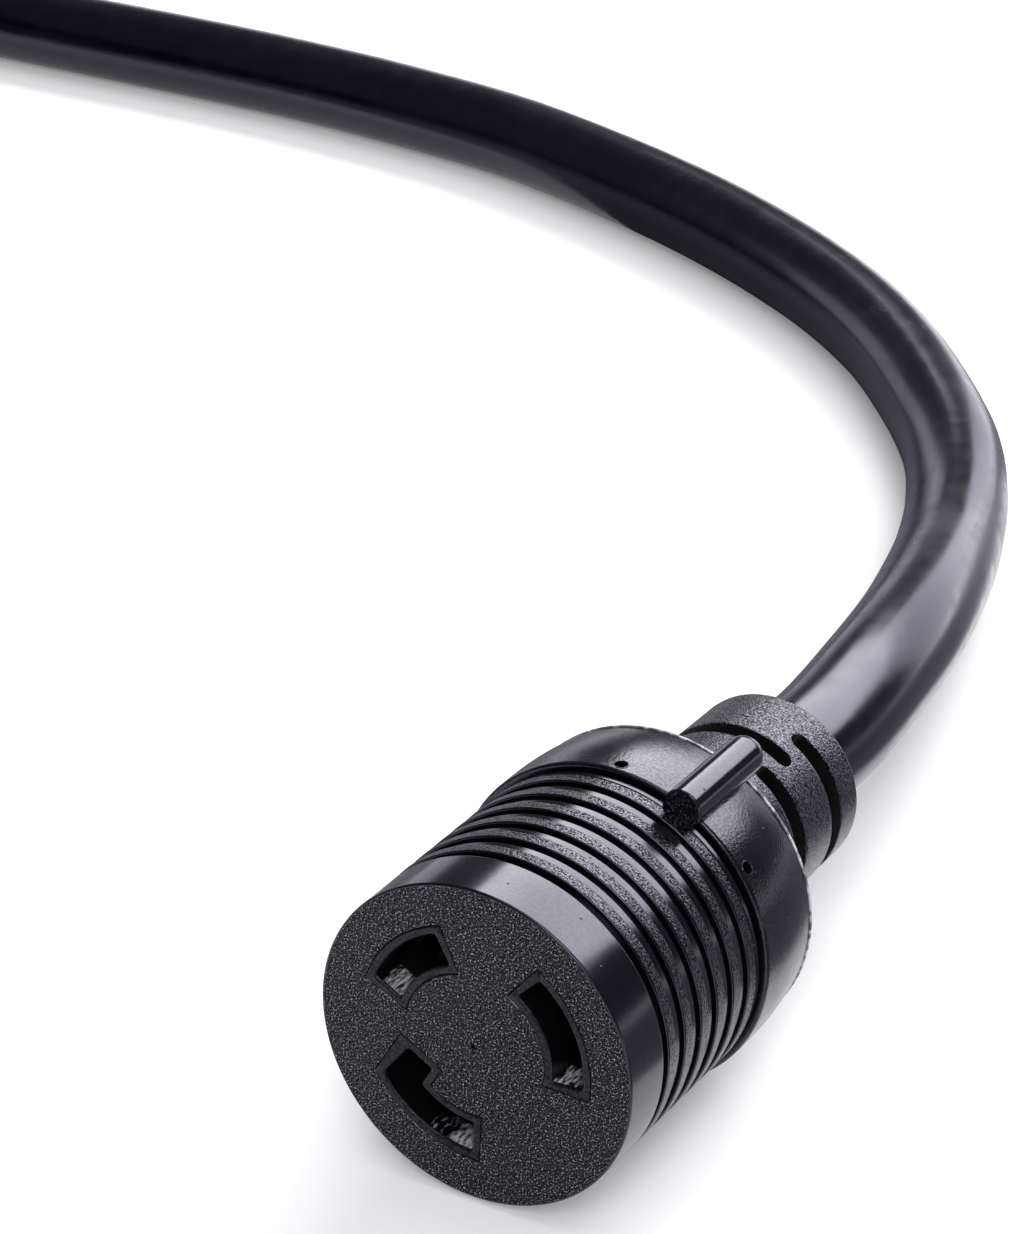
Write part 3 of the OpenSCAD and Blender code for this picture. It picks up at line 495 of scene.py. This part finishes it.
def makeCord(settings):
    straight = settings["diameter"]
    start, end = Vector(settings["exit"]), Vector(settings["plugEnd"])
    coil = coilPoints(settings)
    route = [start, start + Vector((0, straight, 0)), *map(Vector, settings["lead"]), *coil,
             coil[-1] + Vector((straight, 0, 0)), *map(Vector, settings["tail"]),
             end - Vector((straight, 0, 0)), end]
    centre, length = smoothThrough(route, settings["ringStep"])
    ways = np.gradient(centre, axis=0)
    ways /= np.linalg.norm(ways, axis=1)[:, None]
    right = np.stack([ways[:, 1], -ways[:, 0], 0 * ways[:, 0]], axis=1)
    right /= np.linalg.norm(right, axis=1)[:, None]
    up = np.cross(right, ways)
    along = np.linspace(0, length, len(centre))
    random.seed(settings["seed"])
    lumps = [(random.uniform(*settings["lumpLengths"]), random.uniform(0, tau), random.choice((0, 1, 2)),
              random.uniform(0, tau)) for _ in range(settings["lumpCount"])]
    sides = settings["sides"]
    turns = np.arange(sides) * tau / sides
    swell = sum(np.sin(tau * along[:, None] / wave + phase) * np.cos(n * turns[None, :] + twist)
                for wave, phase, n, twist in lumps) / len(lumps)
    ends = np.clip(np.minimum(along, length - along) / settings["lumpFade"], 0, 1)[:, None]
    radius = settings["diameter"] / 2 + settings["lumpHeight"] * swell * ends
    rings = centre[:, None] + radius[..., None] * (right[:, None] * np.sin(turns)[:, None]
                                                   + up[:, None] * np.cos(turns)[:, None])
    shape = newShape()
    stackLoops(shape, rings, 0)
    count = len(shape["points"])
    addFace(shape, range(sides))
    addFace(shape, range(count - 1, count - sides - 1, -1))
    piece = finishPiece("cordJacket", shape, [jacket], weighted=False)
    r = settings["diameter"] / 2
    lay = np.stack([np.repeat(along, sides), np.tile(r * np.sin(turns), len(centre)),
                    np.tile(r * np.cos(turns), len(centre))], axis=1) * mm
    attribute = piece.data.attributes.new("lay", "FLOAT_VECTOR", "POINT")  # place along and round the jacket
    attribute.data.foreach_set("vector", lay.astype(np.float32).ravel())
    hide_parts("cord_lead", "cord_coil", "cord_tail")
    return piece, centre * mm, length * mm


cordPiece, cordPath, cordLength = makeCord(cord)
print(f"cord laid, {cordLength:.2f} m")


# Connector: sizes in mm, stations counted back from the mating face

connector = {
    "faceY": -43.014, "axisZ": 24.8, "faceRadius": 24.0, "faceEdge": 0.35, "bandLength": 8.7,
    "floorRadius": 23.0, "ribCount": 6, "ribPitch": 4.5, "firstGroove": 1.4, "crestWidth": 2.0,
    "crestEdge": 0.28, "crestBack": 0.2, "rootEdge": 0.2, "landStart": 0.45, "landRadius": 23.5,
    "lastLand": 23.85, "landEdge": 0.15, "grooveWidth": 0.65, "grooveEdge": 0.1,
    "shellStart": 36.6, "shellRadius": 24.8, "shellEdge": 0.6, "patchInset": 0.65, "crease": 51.1,
    "crownLength": 10.5, "crownDrop": 1.0, "flashHeight": 0.2, "flashWidth": 0.38, "flashStep": 0.02,
    "flashFall": 0.04, "rimRadius": 5.0, "rimSlopeDeg": 22, "end": 54.227,
    "skin": 2.0, "pocketRadius": 19.2, "pocketEnd": 25.5, "cavityRadius": 13.6, "flangeStart": 46.53,
    "flangeEnd": 50.027, "flangeRadius": 18.5, "boreRadius": 16.0,
    "steps": 192,
}
gateMark = {"radius": 0.5, "depth": 0.6, "steps": 20,
            "taper": ((1, 0), (0.8, 0.12))}  # (share of radius, depth)
slots = {
    "circle": 14.3, "width": 4.6, "tiltDeg": 9, "cornerRadius": 0.55,
    "line": (24, 30), "neutral": (134.5, 24.5),  # middle and half angle in degrees
    "hookCornerRadius": 11.4, "hookCornerDeg": 196, "hookTurnDeg": 59, "hookWidth": 5.0, "hookLength": 6.0,
    "hookLean": 0.8, "leanUpTo": 0.45, "groundEndX": 0.7,
    "collarWall": 1.15, "collarCorner": 0.12, "collarEdge": (0.1, 0.08), "collarGap": 0.1, "gapEdge": 0.12,
    "gapCorners": (0.2, 0.15), "innerEdge": 0.45,
    "mouthRings": (1.5, 3.2), "lip": 5.0, "chamberGap": 0.5, "carrierEnd": 19.5, "steps": 96,
}
slotNames = ("line", "neutral", "ground")


def onConnector(s, r, turn):
    return Vector((r * math.cos(turn), connector["faceY"] + s, connector["axisZ"] + r * math.sin(turn)))


def onFace(x, y, s=0.0):  # a point of the face as drawn from the front, s behind it
    return Vector((x, connector["faceY"] + s, connector["axisZ"] + y))


def faceLoop(outline, s=0.0):
    return [onFace(*point, s) for point in outline]


def ringPoints(s, r):
    return [onConnector(s, r, tau * k / connector["steps"]) for k in range(connector["steps"])]


def polar(r, degrees):
    return Vector((r * math.cos(math.radians(degrees)), r * math.sin(math.radians(degrees))))


def meetCircle(point, way, r, near):  # where a line meets a circle round the middle, nearest to a point
    way = way.normalized()
    along = -point.dot(way)
    half = math.sqrt(max(0, r * r - (point + along * way).length_squared))
    both = [point + (along + side * half) * way for side in (-1, 1)]
    return min(both, key=lambda p: (p - near).length)


def traceOutline(corners, arcs, rounding, arcSteps=28, lineSteps=8, cornerSteps=5):
    # Sides between corners, arcs about the middle or straight, with each corner rounded off.
    def sidePoint(a, b, isArc, t):
        if not isArc:
            return a.lerp(b, t)
        one, two = math.atan2(a.y, a.x), math.atan2(b.y, b.x)
        turn = (two - one + math.pi) % tau - math.pi
        return Vector((a.length * math.cos(one + turn * t), a.length * math.sin(one + turn * t)))
    points = []
    count = len(corners)
    trims = []
    for i in range(count):
        a, b = corners[i], corners[(i + 1) % count]
        trims.append(min(0.45, rounding / max((b - a).length, 1e-6)))
    for i in range(count):
        a, b = corners[i], corners[(i + 1) % count]
        steps = arcSteps if arcs[i] else lineSteps
        points += [sidePoint(a, b, arcs[i], trims[i] + (1 - 2 * trims[i]) * k / steps)
                   for k in range(steps + 1)]
        j = (i + 1) % count
        start = points[-1]
        end = sidePoint(b, corners[(j + 1) % count], arcs[j], trims[j])
        for k in range(1, cornerSteps):
            t = k / cornerSteps
            points.append((1 - t) ** 2 * start + 2 * t * (1 - t) * b + t * t * end)
    return points


def arcSlot(name, growth, rounding):
    middle, half = slots[name]
    circle, width, tilt = slots["circle"], slots["width"], slots["tiltDeg"]
    span = half + math.degrees(growth / circle)
    inner, outer = circle - width / 2 - growth, circle + width / 2 + growth
    ends = []
    for side in (-1, 1):
        near = polar(circle, middle + side * span)
        way = polar(1, middle + side * (span - tilt))
        ends.append((meetCircle(near, way, outer, near), meetCircle(near, way, inner, near)))
    corners = [ends[0][0], ends[1][0], ends[1][1], ends[0][1]]
    return traceOutline(corners, (True, False, True, False), rounding)


def groundSlot(growth, rounding):
    circle, width = slots["circle"], slots["width"]
    inner, outer = circle - width / 2 - growth, circle + width / 2 + growth
    along, across = polar(1, slots["hookTurnDeg"]), polar(1, slots["hookTurnDeg"] - 90)
    corner = polar(slots["hookCornerRadius"], slots["hookCornerDeg"]) + growth * (along - across)
    lean = slots["hookLean"] if growth <= slots["leanUpTo"] else 0.0
    tip = corner + (slots["hookWidth"] + 2 * growth) * across
    top = corner + lean * across
    hookEnd = meetCircle(tip, along, inner, tip - slots["hookLength"] * along)
    slotOuter, slotInner = circle + width / 2, circle - width / 2
    endLow = Vector((-slots["groundEndX"] + growth, -1.4 * slotOuter))
    endHigh = Vector((growth, 3 - slotInner))
    endWay = endLow - endHigh
    endIn = meetCircle(endHigh, endWay, inner, endHigh)
    endOut = meetCircle(endHigh, endWay, outer, endLow)
    outerWay = corner - (slots["hookLength"] + 0.5) * along - top
    hookOut = meetCircle(top, outerWay, outer, top + outerWay)
    return traceOutline([top, tip, hookEnd, endIn, endOut, hookOut], (False, False, True, False, True, False),
                        rounding)


def slotOutline(name, growth, rounding):
    return groundSlot(growth, rounding) if name == "ground" else arcSlot(name, growth, rounding)


def makeConnectorShell(c, k, mark):
    # The moulded body: face with three holes, polished band, ribs, satin shell and rim, and its
    # hollow inside, as one closed skin. Finishes: 0 textured, 1 polished, 2 satin, 3 the face, 4 the flash
    # lip, pale as painted highlight.
    shape = newShape()
    edgeR = c["faceRadius"] - c["faceEdge"]
    profile, zones = [], []

    def extend(points, finish):  # adds profile points and the finish of the strips before them
        for point in points:
            if profile:
                zones.append(finish)
            profile.append(point)

    extend([(0, edgeR)], 0)
    extend([(c["faceEdge"] * (1 - math.cos(a)), edgeR + c["faceEdge"] * math.sin(a))
            for a in np.linspace(0.2, 1, 5) * math.pi / 2], 1)
    floor, top, edge, root = c["floorRadius"], c["faceRadius"], c["crestEdge"], c["rootEdge"]
    ribsStart = c["bandLength"] + c["firstGroove"]
    extend(roundProfile([(c["bandLength"] - 2, top, 0), (c["bandLength"], top, edge),
                         (c["bandLength"], floor, root), (ribsStart, floor, 0)]), 1)
    for i in range(c["ribCount"]):
        s = ribsStart + i * c["ribPitch"]
        after = s + c["ribPitch"] if i < c["ribCount"] - 1 else c["shellStart"]
        landR = c["landRadius"] if i < c["ribCount"] - 1 else c["lastLand"]
        land = s + c["crestWidth"] + c["landStart"]
        groove = after - c["grooveWidth"]
        rib = roundProfile([(s, floor, 0), (s, top, edge), (s + c["crestWidth"], top, c["crestBack"]),
                            (land, landR, c["landEdge"]), (groove, landR, c["landEdge"]),
                            (groove + c["landEdge"], floor, c["grooveEdge"]), (after, floor, 0)])[1:]
        extend(rib[:5], 1)
        extend(rib[5:8], 0)  # the grainy crest; its flanks, the land and the groove are smooth
        extend(rib[8:], 1)
    shellR = c["shellRadius"]
    front = roundProfile([(c["shellStart"], floor, 0), (c["shellStart"], shellR, c["shellEdge"]),
                          (c["crease"], shellR, 0)], steps=6)[1:-1]
    extend(front, 2)
    patchStart, patchEnd = c["shellStart"] + c["patchInset"], c["crease"] - c["crownLength"]
    extend([(patchStart, shellR)], 2)
    patchRow = len(profile) - 1  # the holed patch stands between this station and the next
    extend([(patchEnd, shellR)], 2)
    extend([(c["crease"] - c["crownLength"] * (1 - t), shellR - c["crownDrop"] * t * t)
            for t in np.linspace(0.1, 1, 10)], 2)
    lipR = shellR - c["crownDrop"] + c["flashHeight"]
    extend([(c["crease"] + c["flashStep"], lipR), (c["crease"] + c["flashWidth"], lipR - c["flashFall"])], 4)
    slope = math.radians(c["rimSlopeDeg"])
    rimS = c["crease"] - c["rimRadius"] * math.sin(slope)
    rimR = shellR - c["crownDrop"] - c["rimRadius"] * math.cos(slope)
    extend([(rimS + c["rimRadius"] * math.sin(a), rimR + c["rimRadius"] * math.cos(a))
            for a in np.linspace(slope, math.pi / 2, 12)[1:]], 2)
    extend([(c["end"], c["boreRadius"]), (c["flangeEnd"], c["boreRadius"]),
            (c["flangeEnd"], c["flangeRadius"]), (c["flangeStart"], c["flangeRadius"]),
            (c["flangeStart"], c["cavityRadius"]),
            (c["pocketEnd"], c["cavityRadius"]), (c["pocketEnd"], c["pocketRadius"]),
            (c["skin"], c["pocketRadius"])], 0)
    placed = [addLoop(shape, ringPoints(s, r)) for s, r in profile]
    for i in range(len(placed) - 1):
        if i != patchRow:
            bridge(shape, placed[i], placed[i + 1], zones[i])
    addHoledPatch(shape, patchStart, patchEnd, shellR)
    gap = k["collarWall"] + k["collarGap"]
    wide = {name: slotOutline(name, gap + k["gapEdge"], k["gapCorners"][0]) for name in slotNames}
    exact = {name: slotOutline(name, gap, k["gapCorners"][1]) for name in slotNames}
    gate = circlePoints(mark["radius"], mark["steps"])
    fillSheet(shape, circlePoints(edgeR, c["steps"]), [*wide.values(), gate], onFace, 3)
    for name in slotNames:
        stackLoops(shape, [faceLoop(wide[name]), faceLoop(exact[name], k["gapEdge"]),
                           faceLoop(exact[name], c["skin"])], 0)
    levels = (*mark["taper"], (0.7, mark["depth"]))
    bottom = stackLoops(shape, [faceLoop([(x * t, y * t) for x, y in gate], depth)
                                for t, depth in levels], 0)[-1]
    addFace(shape, bottom)
    fillSheet(shape, circlePoints(c["pocketRadius"], c["steps"]), list(exact.values()),
              lambda x, y: onFace(x, y, c["skin"]), 0)
    piece = finishPiece("connectorShell", shape, [textured, polished, satin, sparkFace, flashAndHighlight])
    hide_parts("connector_body")
    return piece


pinHoles = {
    "radius": 0.85, "station": 38.4, "depth": 3.0, "barDeg": 62, "turnDeg": 26.7, "rimWidth": 0.26,
    "rimHeight": 0.09, "rimSlopes": (0.06, 0.07), "steps": 24, "rows": 6,
    "clearEdge": 0.3, "clearMiddle": 1.4,
}


def annulus(s, turn, base):  # the skin of a round piece drawn flat, as rings about a middle
    return ((base + s) * math.cos(turn), (base + s) * math.sin(turn))


def staggeredSpots(start, end, rows, steps, flat, isFree):
    spots = []
    for row in range(1, rows):
        s = start + (end - start) * row / rows
        for i in range(steps):
            point = np.array(flat(s, tau * (i + 0.5 * (row % 2)) / steps))
            if isFree(point):
                spots.append(tuple(point))
    return spots


def addHoledPatch(shape, start, end, radius):
    # The straight part of the shell, with its four small pin holes and their raised rims.
    c, h = connector, pinHoles
    base = radius  # the flat drawing keeps lengths about true
    middleS = (start + end) / 2

    def place(x, y):
        return onConnector(middleS + math.hypot(x, y) - base, radius, math.atan2(y, x))

    def flat(s, turn):
        return annulus(s - middleS, turn, base)

    outer = [flat(end, tau * i / c["steps"]) for i in range(c["steps"])]
    inner = [flat(start, tau * i / c["steps"]) for i in range(c["steps"])]
    wide = h["radius"] + h["rimWidth"]
    levels = ((wide, 0), (wide - h["rimSlopes"][0], h["rimHeight"] * 0.8),
              (h["radius"] + h["rimSlopes"][1], h["rimHeight"]),
              (h["radius"], 0.0), (h["radius"], -h["depth"]))
    holes = []
    for side in (0, 180):
        for way in (-1, 1):
            turn = math.radians(h["barDeg"] + side + way * h["turnDeg"])
            holes.append([flat(h["station"] + x, turn + y / radius)
                          for x, y in circlePoints(wide, h["steps"])])
            loops = [[onConnector(h["station"] + x, radius + lift, turn + y / radius)
                      for x, y in circlePoints(r, h["steps"])] for r, lift in levels]
            bottom = stackLoops(shape, loops, 2)[-1]
            addFace(shape, bottom, 2)
    outlines = [np.array(hole) for hole in holes]

    def isFree(point):
        return all(np.min(np.hypot(*(hole - point).T)) > h["clearEdge"]
                   and np.hypot(*(hole.mean(axis=0) - point)) > h["clearMiddle"] for hole in outlines)

    spots = staggeredSpots(start, end, h["rows"], c["steps"], flat, isFree)
    fillSheet(shape, outer, [inner, *holes], place, 2, spots)


def makeCarrier(c, k):
    # The nylon block behind the face: collars round the slots, their mouths and lips, and a chamber
    # behind each. Finishes: 0 matte, 1 the mouth, scraped and with a painted highlight, 2 the chamber.
    shape = newShape()
    wall, back, corner, edge = k["collarWall"], k["carrierEnd"], k["cornerRadius"], k["innerEdge"]
    circle = circlePoints(c["pocketRadius"], k["steps"])
    curve = [(edge * (1 - math.sin(a)), edge * (1 - math.cos(a))) for a in np.linspace(0, 1, 6) * math.pi / 2]
    chambers, roots = {}, {}
    for name in slotNames:
        root = roots[name] = slotOutline(name, wall, k["collarCorner"])
        chamber = chambers[name] = slotOutline(name, k["chamberGap"], corner)
        loops = [faceLoop(root, c["skin"]), faceLoop(root, k["collarEdge"][1]),
                 faceLoop(slotOutline(name, wall - k["collarEdge"][0], k["collarCorner"]))]
        loops += [faceLoop(slotOutline(name, growth, corner), s) for growth, s in curve]
        loops += [faceLoop(slotOutline(name, 0, corner), s) for s in (*k["mouthRings"], k["lip"])]
        loops += [faceLoop(chamber, s) for s in (k["lip"], back)]
        stackLoops(shape, loops, [0] * 8 + [1] * 3 + [2] * 2)
    fillSheet(shape, circle, list(roots.values()), lambda x, y: onFace(x, y, c["skin"]), 0)
    fillSheet(shape, circle, list(chambers.values()), lambda x, y: onFace(x, y, back), 0)
    stackLoops(shape, [faceLoop(circle, c["skin"]), faceLoop(circle, back)], 0)
    piece = finishPiece("contactBlock", shape, [collarNylon, slotMouth, hollow])
    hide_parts("contact_carrier")
    return piece


indexBar = {"turnDeg": 62, "radius": 2.95, "middle": 26.55, "front": 33.5, "straight": 17.6, "edge": 0.35,
            "steps": 48}


def makeIndexBar(b):
    # The round bar along the shell, flat in front and domed behind.
    shape = newShape()
    middle = onConnector(0, b["middle"], math.radians(b["turnDeg"]))
    r, front, back = b["radius"], b["front"], b["front"] + b["straight"]
    profile = roundProfile([(front, 0, 0), (front, r, b["edge"]), (back, r, 0)], steps=5)[1:]
    profile += [(back + r * math.sin(a), r * math.cos(a)) for a in np.linspace(0, 1, 10)[1:-1] * math.pi / 2]
    loops = [[middle + Vector((x, s, z)) for x, z in circlePoints(radius, b["steps"])]
             for s, radius in profile]
    placed = stackLoops(shape, loops, 1)
    addFace(shape, placed[0], 0)
    tipPoint = addLoop(shape, [middle + Vector((0, back + r, 0))])[0]
    for i in range(b["steps"]):
        addFace(shape, (placed[-1][i], placed[-1][(i + 1) % b["steps"]], tipPoint), 1)
    piece = finishPiece("indexBar", shape, [textured, polished])
    return piece


relief = {
    "rootRadius": 16.0, "radius": 14.3, "endRadius": 14.0, "cone": 9.0, "edge": 0.8, "end": 86.028,
    "slotFirst": 11.5, "slotPitch": 5.75, "slotWidth": 2.95, "slotCount": 3, "slotDeg": 146.4,
    "slotEdge": 0.22, "slotFloor": 10.4, "slotSteps": 72, "slotEndSteps": 12, "cordRadius": 9.15,
    "gapEdge": 0.5,
    "steps": 144, "rowStep": 0.9, "clear": 0.45, "flatBase": 8.0,
}


def flexOutline(r, i, growth):  # a flex slot's outline as (station, angle) pairs
    half = r["slotWidth"] / 2 + growth
    middle = math.radians(r["slotDeg"] + 180 * ((i + 1) % 2))
    s = connector["end"] + r["slotFirst"] + i * r["slotPitch"] + r["slotWidth"] / 2
    quarter = math.pi / 2
    sides = np.linspace(-1, 1, r["slotSteps"] + 1)
    ends = np.linspace(0, math.pi, r["slotEndSteps"] + 1)[1:-1]
    points = [(s + half, middle + quarter * t) for t in sides]
    points += [(s + half * math.cos(a), middle + quarter + half * math.sin(a) / r["radius"]) for a in ends]
    points += [(s - half, middle - quarter * t) for t in sides]
    points += [(s - half * math.cos(a), middle - quarter - half * math.sin(a) / r["radius"]) for a in ends]
    return points


def makeRelief(r, c):
    # The strain relief drawn flat as rings and rolled up, with its flex slots cut through the skin
    # and its flange inside the shell. Finishes: 0 textured, 1 the slots' depth.
    shape = newShape()
    start, end, base, steps = c["end"], r["end"], r["flatBase"], r["steps"]

    def radiusAt(s):
        if s < start + r["cone"]:
            return r["rootRadius"] + (r["radius"] - r["rootRadius"]) * (s - start) / r["cone"]
        t = (s - start - r["cone"]) / (end - r["edge"] - start - r["cone"])
        return r["radius"] + (r["endRadius"] - r["radius"]) * min(1, t)

    def flat(s, turn):
        return annulus(s - start, turn, base)

    def rolled(x, y):
        s = start + math.hypot(x, y) - base
        return onConnector(s, radiusAt(s), math.atan2(y, x))

    def slotFloor(x, y):
        return onConnector(start + math.hypot(x, y) - base, r["slotFloor"], math.atan2(y, x))

    def sunk(outline, depth):
        return [onConnector(s, radiusAt(s) - depth, turn) for s, turn in outline]

    holes = []
    for i in range(r["slotCount"]):
        wide, narrow = flexOutline(r, i, r["slotEdge"]), flexOutline(r, i, 0)
        holes.append([flat(*p) for p in wide])
        stackLoops(shape, [sunk(wide, 0), sunk(flexOutline(r, i, r["slotEdge"] * 0.3), r["slotEdge"] * 0.25),
                           sunk(narrow, r["slotEdge"]),
                           [onConnector(s, r["slotFloor"], turn) for s, turn in narrow]],
                   (0, 0, 1))
        floorSpots = [flat(*p) for p in flexOutline(r, i, -r["slotWidth"] / 4)]
        fillSheet(shape, [flat(*p) for p in narrow], [], slotFloor, 1, floorSpots)
    outlines = [np.array(hole) for hole in holes]

    def isFree(point):
        return all(np.min(np.hypot(*(hole - point).T)) > r["clear"] for hole in outlines)

    skinEnd = end - r["edge"]
    outer = [flat(skinEnd, tau * i / steps) for i in range(steps)]
    inner = [flat(start, tau * i / steps) for i in range(steps)]
    spots = staggeredSpots(start, skinEnd, int((skinEnd - start) / r["rowStep"]), steps, flat, isFree)
    fillSheet(shape, outer, [inner, *holes], rolled, 0, spots)
    cordR, gap = r["cordRadius"], r["gapEdge"]
    rest = [(skinEnd + r["edge"] * math.sin(a), r["endRadius"] - r["edge"] * (1 - math.cos(a)))
            for a in np.linspace(0, 1, 6) * math.pi / 2]
    rest += [(end, cordR + gap), (end - gap * 0.3, cordR + gap * 0.3), (end - gap, cordR),
             (c["flangeStart"], cordR),
             (c["flangeStart"], c["flangeRadius"]), (c["flangeEnd"], c["flangeRadius"]),
             (c["flangeEnd"], c["boreRadius"]), (start, r["rootRadius"])]
    stackLoops(shape, [[onConnector(s, radius, tau * k / steps) for k in range(steps)]
                       for s, radius in rest], 0)
    piece = finishPiece("connectorRelief", shape, [textured, hollow])
    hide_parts("connector_relief")
    return piece


makeConnectorShell(connector, slots, gateMark)
makeCarrier(connector, slots)
makeIndexBar(indexBar)
makeRelief(relief, connector)
print("connector built")


# The other nodes keep their shape and get their real finish
finishes = {
    "carrier_cap": collarNylon, "line_contact": brass, "neutral_contact": brass, "ground_contact": brass,
    "connector_strands": copper, "line_wire": blackInsulation, "neutral_wire": whiteInsulation,
    "ground_wire": greenInsulation, "connector_jacket_end": jacket, "plug_relief": textured,
    "plug_jacket_end": jacket, "plug_body": satin, "plug_core": collarNylon, "line_blade": bladeBrass,
    "neutral_blade": bladeBrass, "ground_pin": bladeBrass, "plug_strands": copper,
    "plug_line_wire": blackInsulation, "plug_neutral_wire": whiteInsulation,
    "plug_ground_wire": greenInsulation,
}
for node, material in finishes.items():
    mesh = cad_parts[node].data
    mesh.materials.clear()
    mesh.materials.append(material)
print("other nodes finished")


# Studio

studio = {  # in metres
    "floorSize": 12.0, "floorColour": "#f6f6f6", "floorGlow": 0.2,
    "worldColour": "#e6e3ff", "worldStrength": 0.15,
    "shadeSheets": [  # grey, flat on the floor, right and left of the cord: painted shade that only mirrors see
        {"middle": (0.147, 0.182), "size": (0.3, 0.46), "turnDeg": 18.4, "colour": "#74747e"},
        {"middle": (-0.39, 0.15), "size": (0.72, 0.25), "turnDeg": 2, "colour": "#777781"},
    ],
    "shadeSheetHeight": 0.0005,
    "lamps": [  # radiance in the world light's units
        {"name": "rear softbox", "place": (0.055, 0.84, 0.67), "aim": (0.055, -0.04, 0.045),
         "size": (1.15, 0.42), "radiance": 7.0},
        {"name": "rear card", "place": (0.03, 0.47, 0.129), "aim": (0.03, 0.0, 0.129), "size": (0.26, 0.25),
         "radiance": 1.85, "colour": "#f4f1ff"},
        {"name": "left card", "place": (-1.1, 0.84, 0.16), "aim": (-0.05, 0.2, 0.02), "size": (1.3, 0.34),
         "radiance": 0.95, "colour": "#f4f1ff", "rollDeg": 12},
        {"name": "front softbox", "place": (0.75, -1.25, 1.25), "aim": (0.0, 0.0, 0.02), "size": (0.9, 0.9),
         "radiance": 7.0},
        {"name": "top softbox", "place": (0.3, 0.1, 2.4), "aim": (0.0, 0.1, 0.0), "size": (2.0, 2.0),
         "radiance": 1.8},
    ],
}


def addLamp(lamp):
    data = bpy.data.lights.new(lamp["name"], "AREA")
    data.shape = "RECTANGLE"
    data.size, data.size_y = lamp["size"]
    data.color = linearColour(lamp.get("colour", "#ffffff"))[:3]
    data.energy = lamp["radiance"] * math.pi * lamp["size"][0] * lamp["size"][1]
    light = bpy.data.objects.new(lamp["name"], data)
    bpy.context.scene.collection.objects.link(light)
    light.location = lamp["place"]
    facing = (Vector(lamp["aim"]) - light.location).to_track_quat("-Z", "Y")
    light.rotation_euler = (facing @ Quaternion((0, 0, 1), math.radians(lamp.get("rollDeg", 0)))).to_euler()


def addSheet(name, size, material):  # a flat rectangle about its own middle
    across, along = size[0] / 2, size[1] / 2
    mesh = bpy.data.meshes.new(name)
    mesh.from_pydata([(-across, -along, 0), (across, -along, 0), (across, along, 0), (-across, along, 0)], [],
                     [(0, 1, 2, 3)])
    mesh.materials.append(material)
    piece = bpy.data.objects.new(name, mesh)
    bpy.context.scene.collection.objects.link(piece)
    return piece


def addShadeSheet(card, height):
    # A grey sheet on the floor beside the object, as painted shade: only mirror images show it, so it defines
    # dark edges in the cord where a shadowed floor would.
    grey = newMaterial("matt grey painted-shade sheet", Base_Color=linearColour(card["colour"]), Roughness=0.9)[0]
    piece = addSheet("painted shade sheet", card["size"], grey)
    piece.location = (*card["middle"], height)
    piece.rotation_euler = (0, 0, math.radians(card["turnDeg"]))
    # Unseen by the camera, by diffuse light and by shadows: a painted shade seen only in reflections.
    piece.visible_camera = piece.visible_diffuse = piece.visible_shadow = False


def makeStudio(settings):
    scene = bpy.context.scene
    scene.view_settings.view_transform = "Standard"
    material, tree, shader = newMaterial("matt white paper", Base_Color=linearColour(settings["floorColour"]),
                                         Roughness=0.9)
    shader.inputs["Specular IOR Level"].default_value = 0.1
    shader.inputs["Emission Color"].default_value = linearColour("#ffffff")
    # The paper's white is lifted a little where it is seen or mirrored.
    path = addNode(tree, "ShaderNodeLightPath")
    seen = addNode(tree, "ShaderNodeMath", {0: path.outputs["Is Camera Ray"],
                   1: path.outputs["Is Glossy Ray"]}, operation="ADD")
    seen = addNode(tree, "ShaderNodeMath", {0: seen.outputs["Value"], 1: path.outputs["Is Transmission Ray"]},
                   operation="ADD", use_clamp=True)
    glow = addNode(tree, "ShaderNodeMath", {0: seen.outputs["Value"], 1: settings["floorGlow"]},
                   operation="MULTIPLY")
    tree.links.new(glow.outputs["Value"], shader.inputs["Emission Strength"])
    addSheet("floor", (settings["floorSize"], settings["floorSize"]), material)
    for card in settings["shadeSheets"]:
        addShadeSheet(card, settings["shadeSheetHeight"])
    for lamp in settings["lamps"]:
        addLamp(lamp)
    world = bpy.data.worlds.new("studio")
    scene.world = world
    world.use_nodes = True
    background = world.node_tree.nodes["Background"]
    background.inputs["Color"].default_value = linearColour(settings["worldColour"])
    background.inputs["Strength"].default_value = settings["worldStrength"]


makeStudio(studio)
print("studio lit")
